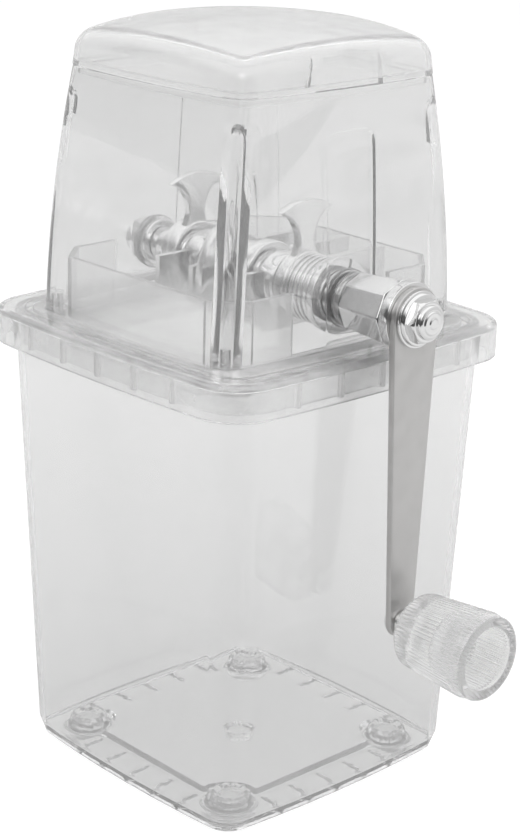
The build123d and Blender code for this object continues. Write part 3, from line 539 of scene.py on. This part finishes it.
def makeHopper(s):
    path = divide(hopperPath(s), 3, s["rowPitch"])
    share = np.clip((path[:, 3] - s["flangeTop"]) / (s["top"] - s["flangeTop"]), 0, 1)
    swell = share * (1 - share)
    # the columns crowd together where the panel ends, 10.5 mm from the middle
    sideEnd = 41.2
    crowded = [0, 3, 6, 8.2, 9.2, 9.7, 9.95, 10.2, 10.4, 10.6, 10.8, 11.1, 12.0, 14.0, 17.0, 20.0]
    shares = np.concatenate([crowded, np.linspace(23, sideEnd, 8)]) / sideEnd
    x, y = bowedRows(
        path[:, 0] + s["bulgeX"] * swell, path[:, 1] + s["bulgeY"] * swell, path[:, 2],
        np.full(len(path), s["bow"]), shares, s["cornerColumns"],
    )
    z = np.repeat(path[:, 3:4], x.shape[1], axis=1)
    x, y = postInner(x, y, z, path[:, 5:6], s)
    # shallow panels with round upper corners on the two shaft sides
    onSide = (np.abs(x) > np.abs(y)) & (path[:, 4:5] > 0.99)
    depth = np.where(x > 0, s["panelDepth"], s["farPanelDepth"])
    x = x - np.sign(x) * np.where(onSide, depth * hopperPanel(y, z, s), 0)
    surfaces = [(np.stack([x, y, z], axis=-1), True, False, False)]
    for start, end, radius in s["bosses"]:
        surfaces.append(ring(stepped(s["bossBore"], [(start, radius)], end), 0.4))
    # braces between the skirt and the flange
    half, foot, top = s["braceHalf"], s["braceFoot"], s["braceTop"]
    for i in range(s["braces"]):
        place = (i - (s["braces"] - 1) / 2) * s["bracePitch"]
        face = s["skirtHalf"] - s["skirtWall"] - s["bow"] * (place / s["straightHalf"]) ** 2
        for sign in (-1, 1):
            low, high = sorted((sign * (face - s["braceDepth"]), sign * (face + s["braceSink"])))
            surfaces.append(block((low, place - half, foot), (high, place + half, top)))
            surfaces.append(block((place - half, low, foot), (place + half, high, top)))
    addPiece("hopperShell", surfaces, frostedStyrene, "hopper_body", ["hopper"], 50)


makeHopper(hopperSize)

# lid
lidSize = {
    "halfX": 45.3, "halfY": 46.3, "corner": 8.5, "bow": 2.6, "draw": 0.5, "shoulder": 6.0, "wall": 2.0,
    "foot": 244.0, "footEdge": 0.3, "shelf": 1.5, "top": 262.0, "edgeTop": 258.7,
    "plugFoot": 241.0, "plugX": 42.0, "plugY": 43.1, "plugCorner": 3.0, "plugThick": 1.6,
    "gripDepth": 1.6, "gripLow": 14.5, "gripHigh": 12.5, "gripTop": 256.0,
    "crownRows": 34, "shoulderRows": 11, "sideRows": 6, "middleShare": 0.012, "cornerColumns": 18,
}


def lidSkin(s, inset, foot, shares):
    # crown: part of a sphere over a shrinking outline. shoulder: a quarter turn hung below the crown.
    # side: a straight run from the shoulder down to foot
    drop = s["top"] - s["edgeTop"]
    reach = s["halfX"] - s["shoulder"]
    sphere = (reach ** 2 + drop ** 2) / (2 * drop)
    soft = s["shoulder"] - inset
    crownRows, sideRows = s["crownRows"], s["sideRows"]
    turn = np.linspace(90, 0, s["shoulderRows"] + 1)[1:] * math.pi / 180
    scale = np.concatenate([np.linspace(s["middleShare"], 1, crownRows), np.ones(len(turn) + sideRows)])
    out = np.concatenate([np.zeros(crownRows), soft * np.cos(turn), np.full(sideRows, soft)])
    below = np.concatenate([np.zeros(crownRows), soft * (1 - np.sin(turn)), np.full(sideRows, soft)])
    down = np.concatenate([np.zeros(crownRows + len(turn)), np.linspace(0, 1, sideRows + 1)[1:]])
    spare = -inset - s["draw"] * (1 - down) - soft + out
    halfX = (s["halfX"] + spare) * scale
    halfY = (s["halfY"] + spare) * scale
    corner = np.maximum((s["corner"] - inset - soft + out) * scale, 0.4 * scale)
    x, y = bowedRows(halfX, halfY, corner, s["bow"] * scale, shares, s["cornerColumns"])
    crown = s["top"] - sphere + np.sqrt((sphere - inset) ** 2 - x ** 2 - y ** 2)
    z = crown - below[:, None]
    z = z + (foot - z) * down[:, None]
    # finger recess: inside its outline nothing stands further out than its flat floor
    half = s["gripLow"] + (s["gripHigh"] - s["gripLow"]) * (z - s["foot"]) / (s["gripTop"] - s["foot"])
    inGrip = smoothStep(half + inset - np.abs(y), 0.3) * smoothStep(s["gripTop"] + inset - z, 0.5)
    over = np.clip(np.abs(x) - (s["halfX"] - s["gripDepth"] - inset), 0, None)
    x = x - np.sign(x) * over * inGrip
    return np.stack([x, y, z], axis=-1)


def makeLid(s):
    # the columns crowd together along the finger recess's edges
    sideEnd = 36.2
    crowded = [0, 4, 8, 10.5, 11.5, 12.0, 12.4, 12.8, 13.2, 13.6, 14.0, 14.4, 14.8, 15.2, 15.8, 17.0, 19.0]
    shares = np.concatenate([crowded, np.linspace(22, sideEnd, 8)]) / sideEnd
    outer = lidSkin(s, 0.0, s["foot"] + s["footEdge"], shares)
    inner = lidSkin(s, s["wall"], s["foot"] + s["shelf"], shares)
    t = s["plugThick"]
    plugX, plugY, corner = s["plugX"], s["plugY"], s["plugCorner"]
    path = np.array([
        (plugX, plugY, corner, s["foot"]),
        (plugX, plugY, corner, s["plugFoot"]),
        (plugX - t, plugY - t, corner - t, s["plugFoot"]),
        (plugX - t, plugY - t, corner - t, s["foot"] + s["shelf"]),
    ])
    path = roundCorners(path, 0.3, False, 4, [1, 3])
    bow = np.full(len(path), s["bow"])
    x, y = bowedRows(path[:, 0], path[:, 1], path[:, 2], bow, shares, s["cornerColumns"])
    plug = np.stack([x, y, np.repeat(path[:, 3:4], x.shape[1], axis=1)], axis=-1)
    rim = outer[-1:].copy()
    rim[..., 2] = s["foot"]
    rim[..., :2] *= 0.994
    skin = (np.concatenate([outer, rim, plug, inner[::-1]]), False, True, True)
    addPiece("lidShell", [skin], hazyStyrene, "lid_body", ["lid"], 50)


makeLid(lidSize)
print("clear shells ready")

# shaft and what turns with it
shaftSize = {"radius": 4.0, "start": -57.8, "end": 84.0}


def makeShaft(s):
    profile = stepped(axisRadius, [(s["start"], s["radius"])], s["end"])
    crankPiece("shaftRod", [solid(profile, shaftHeight, 0.3, 64)], groundSteel, "shaft")


makeShaft(shaftSize)

clawSize = {
    "places": (-25.5, -8.5, 8.5, 25.5), "angles": (0.0, 250.0, 70.0, 0.0),
    "reach": 28.6, "tipHalf": 11.6, "tipHeight": 25.2, "tipLift": 0.28, "neckHalf": 3.6, "neckHeight": 14.5,
    "flare": 2.5, "hollow": 2.3, "thick": 3.0, "bevel": 0.5, "edgeShare": 0.7,
    "discRadius": 11.5, "discThick": 4.8,
    # where the root leaves the disc, as half width and height
    "rootFoot": 5.0, "rootDrop": 0.4, "rootTop": (4.5, 11.6),
    # how the plate thins over its last rows, and how far they rise
    "edgeThinning": (0.72, 0.38, 0.0), "edgeLift": (0.12, 0.22, 0.28),
}


def clawPlate(s, place, degrees):
    # half width against height: a root, a neck, then a curve sweeping out to the tips. Across each height
    # the plate runs from edge to edge on one face and back on the other, and its top swells up to the reach
    chord = np.array([s["tipHalf"] - s["neckHalf"], s["tipHeight"] - s["neckHeight"]])
    square = np.array([-chord[1], chord[0]]) / np.hypot(*chord)
    neck = np.array([s["neckHalf"], s["neckHeight"]])
    pull = neck + chord / 2 + 2 * s["hollow"] * square
    u = np.linspace(0, 1, 22)[:, None]
    sweep = neck * (1 - u) ** 2 + 2 * pull * u * (1 - u) + (neck + chord) * u ** 2
    rootHalf = s["neckHalf"] + s["flare"]
    rootShoulder = s["discRadius"] - s["flare"] - s["rootDrop"]
    root = np.array([(rootHalf, s["rootFoot"]), (rootHalf, rootShoulder), s["rootTop"]])
    outline = np.concatenate([root, sweep])
    thinning = np.concatenate([np.ones(len(outline)), s["edgeThinning"]])
    lift = np.concatenate([np.zeros(len(outline)), s["edgeLift"]])
    outline = np.concatenate([outline, np.repeat(outline[-1:], 3, 0)])
    width, height = outline[:, :1], outline[:, 1:]
    across = np.linspace(-1, 1, 17)[1:-1]
    flat = np.ones(len(across))
    half = s["thick"] / 2
    columns = np.concatenate([across, [1, 1, 1], across[::-1], [-1, -1, -1]])[None, :]
    edge = half * s["edgeShare"]
    depth = np.concatenate([half * flat, [edge, 0, -edge], -half * flat, [-edge, 0, edge]])
    onFace = np.concatenate([flat, [0, 0, 0], flat, [0, 0, 0]])[None, :]
    side = width * columns * (onFace * (1 - s["bevel"] / width) + (1 - onFace))
    rise = np.clip((height - s["neckHeight"]) / (s["tipHeight"] - s["neckHeight"]), 0, 1) ** 2
    crown = (s["reach"] - s["tipLift"] - s["tipHeight"]) * rise * (1 - (side / width) ** 2)
    up = height + crown + lift[:, None]
    out = depth[None, :] * thinning[:, None]
    turn = math.radians(degrees)
    y = side * math.cos(turn) - up * math.sin(turn)
    z = shaftHeight + side * math.sin(turn) + up * math.cos(turn)
    return np.stack([place + out, y, z], axis=-1), False, True, False


def makeClaws(s):
    surfaces = []
    half = s["discThick"] / 2
    for place, degrees in zip(s["places"], s["angles"]):
        surfaces.append(clawPlate(s, place, degrees))
        disc = stepped(shaftBore, [(place - half, s["discRadius"])], place + half)
        surfaces.append(ring(disc, 0.55))
    crankPiece("clawPlates", surfaces, groundSteel, "claws", 45)


makeClaws(clawSize)

spacerSize = {"places": (-17.0, 0.0, 17.0), "half": 6.1, "end": 2.6, "endRadius": 7.4, "radius": 9.4}


def makeSpacers(s):
    h, e = s["half"], s["half"] - s["end"]
    small, large = s["endRadius"], s["radius"]
    surfaces = []
    for x in s["places"]:
        steps = [(x - h, small), (x - e, large), (x + e, small)]
        surfaces.append(ring(stepped(shaftBore, steps, x + h), 0.6))
    crankPiece("spacerRings", surfaces, nickelPlate, "spacers")


makeSpacers(spacerSize)

nearHubSize = {
    "start": 27.9, "grooved": 38.5, "end": 42.6, "radius": 11.3, "neck": 6.0,
    "grooves": 4, "grooveRadius": 10.3, "grooveWidth": 0.9, "flange": 2.6, "flangeRadius": 12.6,
}


def makeNearHub(s):
    start, end, radius = s["start"], s["end"], s["radius"]
    pitch = (s["grooved"] - start) / (s["grooves"] + 1)
    steps = [(start, radius)]
    for i in range(s["grooves"]):
        groove = start + (i + 1) * pitch - s["grooveWidth"] / 2
        steps += [(groove, s["grooveRadius"]), (groove + s["grooveWidth"], radius)]
    steps += [(s["grooved"], s["neck"]), (end - s["flange"], s["flangeRadius"])]
    profile = stepped(shaftBore, steps, end)
    crankPiece("nearHub", [ring(profile, 0.35)], nickelPlate, "hub_near")


makeNearHub(nearHubSize)

farHubSize = {"start": -27.9, "disc": -31.0, "end": -42.6, "radius": 11.0, "neck": 6.0}


def makeFarHub(s):
    profile = stepped(shaftBore, [(s["start"], s["radius"]), (s["disc"], s["neck"])], s["end"])
    crankPiece("farHub", [ring(profile, 0.4)], nickelPlate, "hub_far")


makeFarHub(farHubSize)

bushSize = {
    "face": 43.0, "seat": 45.4, "nearEnd": 52.4, "farEnd": -49.6, "flangeRadius": 8.2, "radius": 6.2,
    "bore": 4.05,
}


def makeBush(s, name, end, node):
    side = math.copysign(1, end)
    steps = [(side * s["face"], s["flangeRadius"]), (side * s["seat"], s["radius"])]
    profile = stepped(s["bore"], steps, end)
    addPiece(name, [ring(profile, 0.3)], nickelPlate, "hopper_body", [node])


makeBush(bushSize, "nearBush", bushSize["nearEnd"], "near_bush")
makeBush(bushSize, "farBush", bushSize["farEnd"], "far_bush")

collarSize = {
    "start": 52.8, "ring": 71.2, "end": 75.6, "flat": 9.05, "flatWide": 10.35, "edgeSwell": 1.068,
    "ringRadius": 11.2, "grooveRadius": 9.6, "groove": 0.8,
}


def makeCollar(s):
    start, middle, end, wide = s["start"], s["ring"], s["end"], s["flatWide"]

    def eightSided(angle, x, radius):
        # half width across the flats grows along the sleeve; the edges between flats are rounded off
        step = math.pi / 4
        off = np.mod(angle, step) - step / 2
        flat = s["flat"] + (wide - s["flat"]) * (x - start) / (middle - start)
        swell = np.minimum(1 / np.cos(off), s["edgeSwell"])
        return np.where(radius < 5.0, radius, radius * swell * flat / wide)

    sleeve = stepped(shaftBore, [(start, wide)], middle)
    steps = [(middle, s["grooveRadius"]), (middle + s["groove"], s["ringRadius"])]
    surfaces = [ring(sleeve, 0.5, 192, eightSided), ring(stepped(shaftBore, steps, end), 0.4)]
    crankPiece("collarSleeve", surfaces, nickelPlate, "collar", 30)


makeCollar(collarSize)

armSize = {
    "inner": collarSize["end"], "outer": 78.0, "length": 102.5, "topRadius": 10.0, "lowRadius": 5.3,
    "bevel": 0.45, "topColumns": 60, "lowColumns": 40,
}


def makeArm(s):
    # outline: the hull of two circles, walked by its normal's direction; section: flat, rounded edges
    topCount, lowCount = s["topColumns"], s["lowColumns"]
    tilt = math.asin((s["topRadius"] - s["lowRadius"]) / s["length"])
    upper = np.linspace(-tilt, math.pi + tilt, topCount)
    lower = np.linspace(math.pi + tilt, 2 * math.pi - tilt, lowCount)
    angle = np.concatenate([upper, lower])
    radius = np.concatenate([np.full(topCount, s["topRadius"]), np.full(lowCount, s["lowRadius"])])
    drop = np.concatenate([np.zeros(topCount), np.full(lowCount, s["length"])])
    b = s["bevel"]
    quarter = np.linspace(0, math.pi / 2, 5)
    inset = np.concatenate([b * (1 - np.sin(quarter)), b * (1 - np.cos(quarter))])
    x = np.concatenate([s["inner"] + b * (1 - np.cos(quarter)), s["outer"] - b * (1 - np.sin(quarter))])
    y = np.cos(angle)[None, :] * (radius[None, :] - inset[:, None])
    z = shaftHeight - drop[None, :] + np.sin(angle)[None, :] * (radius[None, :] - inset[:, None])
    bar = (np.stack([np.repeat(x[:, None], len(angle), 1), y, z], axis=-1), False, True, True)
    crankPiece("armBar", [bar], blastedSteel, "crank_arm", 45)


makeArm(armSize)

nutSize = {
    "washerStart": armSize["outer"], "seat": 79.2, "washerRadius": 9.2, "flangeRadius": 8.6, "flange": 1.2,
    "flangeDraw": 0.4, "flat": 6.5, "flatsEnd": 83.2, "chamfer": -0.9, "cornerRadius": 7.5, "endRadius": 6.4,
    "domeSink": 0.2, "domeRadius": 5.6, "end": 85.4,
    # turned steps of the closed end: place from the end, and radius
    "steps": ((-1.1, 5.4), (-0.7, 4.4), (-0.75, 4.0), (-0.3, 3.5), (-0.28, 2.4), (-0.32, 2.0), (0, 1.5)),
}


def washerRing(s):
    return ring(stepped(shaftBore, [(s["washerStart"], s["washerRadius"])], s["seat"]), 0.3)


def hexagon(s, start):
    # six flats cut from a turned blank whose outer end is chamfered: the radius is the smaller of the two
    def sixSided(angle, x, radius):
        step = math.pi / 3
        off = np.mod(angle + step / 2, step) - step / 2
        return np.where(radius < 5.0, radius, np.minimum(radius, s["flat"] / np.cos(off)))

    chamfer = s["flatsEnd"] + s["chamfer"]
    blank = [
        (start, axisRadius), (start, s["cornerRadius"]), (chamfer, s["cornerRadius"]),
        (s["flatsEnd"], s["endRadius"]), (s["flatsEnd"], axisRadius),
    ]
    return solid(blank, shaftHeight, 0.3, 192, sixSided)


def makeCrankNut(s):
    crankPiece("armWasher", [washerRing(s)], nickelPlate, "arm_washer")
    seat, face = s["seat"], s["seat"] + s["flange"]
    flange = [
        (seat, axisRadius), (seat, s["flangeRadius"]),
        (face, s["flangeRadius"] - s["flangeDraw"]), (face, axisRadius),
    ]
    foot = s["flatsEnd"] - s["domeSink"]
    dome = [(foot, axisRadius), (foot, s["domeRadius"])]
    dome += [(s["end"] + step, radius) for step, radius in s["steps"]]
    dome.append((s["end"], axisRadius))
    surfaces = [solid(flange, shaftHeight, 0.3), hexagon(s, face), solid(dome, shaftHeight, 0.25)]
    crankPiece("crankNut", surfaces, nickelPlate, "crank_nut", 30)


makeCrankNut(nutSize)

farNutSize = {
    "washerStart": -50.0, "seat": -51.2, "washerRadius": 7.6, "flat": 6.2, "flatsEnd": -57.2, "end": -62.0,
    "chamfer": 0.8, "cornerRadius": 7.15, "endRadius": 6.1, "domeSink": 0.3, "domeRadius": 5.4,
}


def makeFarNut(s):
    crankPiece("farWasher", [washerRing(s)], nickelPlate, "far_washer")
    # dome: half an ellipse turned about the shaft's line
    turn = np.linspace(0, math.pi / 2, 14)[:-1]
    length = s["end"] - s["flatsEnd"]
    foot = s["flatsEnd"] + s["domeSink"]
    dome = [(foot, axisRadius), (foot, s["domeRadius"])]
    dome += list(zip(s["flatsEnd"] + length * np.sin(turn), s["domeRadius"] * np.cos(turn)))
    surfaces = [hexagon(s, s["seat"]), (turnedAlongX(dome, shaftHeight), False, True, True)]
    crankPiece("farNut", surfaces, nickelPlate, "far_nut", 30)


makeFarNut(farNutSize)

# knob and its pin
knobHeight = shaftHeight - armSize["length"]
pinSize = {
    "rivetStart": 74.0, "armInner": armSize["inner"], "armOuter": armSize["outer"], "shoulderEnd": 80.4,
    "headStart": 100.9, "headEnd": 103.3, "shoulderRadius": 4.2, "radius": 2.5, "headRadius": 4.6,
}


def makePin(s):
    wide, thin = s["shoulderRadius"], s["radius"]
    steps = [
        (s["rivetStart"], wide), (s["armInner"], thin), (s["armOuter"], wide), (s["shoulderEnd"], thin),
        (s["headStart"], s["headRadius"]),
    ]
    profile = stepped(axisRadius, steps, s["headEnd"])
    crankPiece("knobPin", [solid(profile, knobHeight, 0.45, 64)], nickelPlate, "knob_pin")


makePin(pinSize)

knobSize = {
    "start": 80.8, "neckRadius": 5.2, "bodyStart": 84.2, "smallRadius": 11.8, "bodyEnd": 112.3,
    "largeRadius": 14.0, "end": 115.5, "recessRadius": 10.4, "recessFloor": 100.5, "bore": 2.55,
    "ribs": 60, "ribHeight": 0.6, "ribStart": 2.0, "ribEnd": 0.5, "recessRibs": 48, "recessRibHeight": 0.3,
    "columns": 480,
}


def makeKnob(s):
    # a turned barrel; on its sides the radius rises and falls with the ribs, and fades out near both ends
    start, body, bodyEnd, end, floor = [s[k] for k in ("start", "bodyStart", "bodyEnd", "end", "recessFloor")]
    small, large, recess = s["smallRadius"], s["largeRadius"], s["recessRadius"]
    # place, radius, corner radius
    path = np.array([
        (start, s["bore"], 0.3), (start, s["neckRadius"], 0.5), (body, s["neckRadius"], 0.4),
        (body, small, 2.9), (bodyEnd, large, 0.4), (end, large, 1.2),
        (end, recess, 0.8), (floor, recess, 0.8), (floor, s["bore"], 0.3),
    ])
    profile = divide(roundCorners(path[:, :2], path[:, 2], True, 6), 0, 1.0)

    def ribbed(angle, x, radius):
        line = small + (large - small) * (x - body) / (bodyEnd - body)
        outside = (np.abs(radius - line) < 0.25) & (x > body + 0.4) & (x < bodyEnd + 0.01)
        fade = smoothStep(x - body - s["ribStart"], 0.7) * smoothStep(bodyEnd - s["ribEnd"] - x, 0.5)
        wave = np.clip(np.cos(s["ribs"] * angle) + 0.25, 0, None) / 1.25
        inside = (np.abs(radius - recess) < 0.05) & (x < end - 1.5) & (x > floor + 1.0)
        inner = s["recessRibHeight"] * np.clip(np.cos(s["recessRibs"] * angle), 0, None)
        radius = radius + np.where(outside, s["ribHeight"] * fade * wave, 0)
        return radius - np.where(inside, inner, 0)

    barrel = (turnedAlongX(profile, knobHeight, s["columns"], ribbed), True, False, False)
    addPiece("knobBarrel", [barrel], ribbedStyrene, "knob_body", ["knob"], 50)


makeKnob(knobSize)

# the liner, its screws and the fixed knives keep their solids and get real finishes
cadFinishes = {"chamber": hazyStyrene, "chamber_screws": nickelPlate, "fixed_knives": groundSteel}
for nodeName, material in cadFinishes.items():
    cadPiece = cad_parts[nodeName]
    cadPiece.data.materials.clear()
    cadPiece.data.materials.append(material)
print("metal and knob ready")


# room, lamps and camera, in metres
roomLook = {
    "paperColour": "#898989", "tableColour": "#505050",
    # the paper ends on the table at this distance along tableWay
    "tableWay": (0.73, -0.68, 0.0), "paperEdge": 0.55, "edgeBlend": 0.03,
    # light that the paper adds through plastic and in metal: near the object, lowered there as a painted
    # contact shadow, further away, and the share that is left beyond that
    "shadedNearGlow": 0.37, "farGlow": 0.61, "rise": (0.05, 0.45), "fall": (0.48, 0.65), "fallOff": 0.86,
    "eyeGlow": 0.80,        # what lifts it to white straight to the eye
    "floorHalf": 6.0, "floorDrop": 0.0002,
    "sheet": 0.80,          # the grey sheet behind, as it shows through plastic and in metal
    "dark": 0.12,           # the unlit side of the room, where the photographer stands
    "darkWay": (0.25, -0.97, 0.0), "darkEdge": (-0.2, 0.45),
    "ceiling": 1.25, "ceilingEdge": (0.25, 0.7),
    "softBox": 1.6, "softBoxWay": (0.62, -0.62, 0.48), "softBoxEdge": (0.93, 0.985),
    "fill": 0.74,
}
lampLook = {
    # each lamp points at the middle, at the height aim
    "keyLamp": {"place": (-0.45, -1.05, 0.75), "aim": 0.13, "width": 0.14, "height": 0.9, "power": 4.0},
    "sideLamp": {"place": (0.85, 0.60, 0.50), "aim": 0.15, "width": 0.16, "height": 0.6, "power": 5.2},
    "topLamp": {"place": (0.10, -0.10, 1.30), "aim": 0.13, "width": 1.1, "height": 1.1, "power": 6.8},
}


def along(tree, way, vector):
    settings = {"operation": "DOT_PRODUCT", 0: vector, 1: way}
    return addNode(tree, "ShaderNodeVectorMath", settings).outputs["Value"]


def seenIndirectly(tree, rays):
    return maths(tree, "MAXIMUM", rays.outputs["Is Glossy Ray"], rays.outputs["Is Transmission Ray"])


def makeFloor(look):
    # light grey paper; straight to the eye it glows up to white, keeping the object's shadow, while
    # through the plastic and in the metal it glows grey, less near the object as a painted contact shadow
    material, tree, output = newMaterial("paper sweep")
    place = addNode(tree, "ShaderNodeTexCoord").outputs["Object"]
    mottle = addNode(tree, "ShaderNodeTexNoise", {"Vector": place, "Scale": 6.0, "Detail": 2.0})
    rough = spread(tree, mottle.outputs["Fac"], 0.0, 1.0, 0.85, 0.95)
    # in front of the object the paper ends on a darker table, which draws the darker lines on the edges
    front = along(tree, look["tableWay"], place)
    onTable = spread(tree, front, look["paperEdge"], look["paperEdge"] + look["edgeBlend"])
    colours = {6: linearColour(look["paperColour"]), 7: linearColour(look["tableColour"])}
    colour = addNode(tree, "ShaderNodeMix", {"data_type": "RGBA", 0: onTable, **colours}).outputs[2]
    settings = {"Base Color": colour, "Roughness": rough, "Specular IOR Level": 0.1}
    paper = addNode(tree, "ShaderNodeBsdfPrincipled", settings)
    rays = addNode(tree, "ShaderNodeLightPath")
    even = maths(tree, "MULTIPLY", seenIndirectly(tree, rays), maths(tree, "SUBTRACT", 1.0, onTable))
    away = addNode(tree, "ShaderNodeVectorMath", {"operation": "LENGTH", 0: place}).outputs["Value"]
    # painted shadow: the glow seen through plastic and in metal is lower near the object, as if it shaded the
    # paper
    paintedShadowRamp = spread(tree, away, *look["rise"], look["shadedNearGlow"], look["farGlow"])
    falling = spread(tree, away, *look["fall"], 1.0, look["fallOff"])
    evenGlow = maths(tree, "MULTIPLY", even, maths(tree, "MULTIPLY", paintedShadowRamp, falling))
    amount = maths(tree, "MULTIPLY_ADD", rays.outputs["Is Camera Ray"], look["eyeGlow"], evenGlow)
    glow = addNode(tree, "ShaderNodeEmission", {"Color": (1, 1, 1, 1), "Strength": amount})
    both = addNode(tree, "ShaderNodeAddShader", {0: paper.outputs["BSDF"], 1: glow.outputs["Emission"]})
    tree.links.new(both.outputs["Shader"], output.inputs["Surface"])
    mesh = bpy.data.meshes.new("paperFloor")
    half, z = look["floorHalf"], -look["floorDrop"]
    corners = [(-half, -half, z), (half, -half, z), (half, half, z), (-half, half, z)]
    mesh.from_pydata(corners, [], [(0, 1, 2, 3)])
    mesh.materials.append(material)
    floor = bpy.data.objects.new("paperFloor", mesh)
    bpy.context.scene.collection.objects.link(floor)


def makeRoom(look):
    # white straight to the eye. Through plastic and in metal: a grey sheet behind, darker towards the
    # unlit front of the room, brighter above
    world = bpy.data.worlds.new("studio room")
    world.use_nodes = True
    bpy.context.scene.world = world
    tree = world.node_tree
    tree.nodes.clear()
    direction = addNode(tree, "ShaderNodeTexCoord").outputs["Generated"]
    height = addNode(tree, "ShaderNodeSeparateXYZ", {0: direction}).outputs["Z"]
    front = along(tree, look["darkWay"], direction)
    sheet = spread(tree, front, *look["darkEdge"], look["sheet"], look["dark"], "SMOOTHSTEP")
    above = spread(tree, height, *look["ceilingEdge"], curve="SMOOTHSTEP")
    room = blended(tree, above, sheet, look["ceiling"])
    # a soft box above the camera, mirrored by the front corner as a bright line
    toBox = along(tree, look["softBoxWay"], direction)
    box = spread(tree, toBox, *look["softBoxEdge"], 0.0, look["softBox"], "SMOOTHSTEP")
    room = maths(tree, "ADD", room, box)
    rays = addNode(tree, "ShaderNodeLightPath")
    inside = blended(tree, seenIndirectly(tree, rays), look["fill"], room)
    level = blended(tree, rays.outputs["Is Camera Ray"], inside, 1.0)
    glow = addNode(tree, "ShaderNodeBackground", {"Color": (1, 1, 1, 1), "Strength": level})
    addNode(tree, "ShaderNodeOutputWorld", {"Surface": glow.outputs["Background"]})


def addLamp(name, place, aim, width, height, power):
    # the lamps light without a hard edged picture of themselves in plastic or metal: the room shows there
    light = bpy.data.lights.new(name, "AREA")
    light.shape = "RECTANGLE"
    light.size, light.size_y = width, height
    light.energy = power
    lamp = bpy.data.objects.new(name, light)
    turn = (Vector((0, 0, aim)) - Vector(place)).to_track_quat("-Z", "Y").to_matrix().to_4x4()
    lamp.matrix_world = Matrix.Translation(place) @ turn
    lamp.visible_glossy = False
    lamp.visible_transmission = False
    bpy.context.scene.collection.objects.link(lamp)


makeFloor(roomLook)
makeRoom(roomLook)
for name, lamp in lampLook.items():
    addLamp(name, **lamp)

cameraLook = {
    "place": (0.5005, -0.4611, 0.3550), "azimuth": 46.89, "elevation": 18.81, "roll": 1.48, "lens": 89.5,
    "sensor": 36.0,
}


def makeCamera(look):
    azimuth, elevation, roll = [math.radians(look[k]) for k in ("azimuth", "elevation", "roll")]
    level = math.cos(elevation)
    right = Vector((math.cos(azimuth), math.sin(azimuth), 0))
    back = Vector((math.sin(azimuth) * level, -math.cos(azimuth) * level, math.sin(elevation)))
    up = back.cross(right)
    rolledRight = math.cos(roll) * right + math.sin(roll) * up
    rolledUp = math.cos(roll) * up - math.sin(roll) * right
    lensData = bpy.data.cameras.new("photoCamera")
    lensData.sensor_fit = "VERTICAL"
    lensData.sensor_height = look["sensor"]
    lensData.lens = look["lens"]
    lensData.clip_start = 0.01
    camera = bpy.data.objects.new("photoCamera", lensData)
    turn = Matrix((rolledRight, rolledUp, back)).transposed().to_4x4()
    camera.matrix_world = Matrix.Translation(look["place"]) @ turn
    bpy.context.scene.collection.objects.link(camera)
    bpy.context.scene.camera = camera


makeCamera(cameraLook)
bpy.context.scene.view_settings.view_transform = "Standard"
print("room, lamps and camera ready")
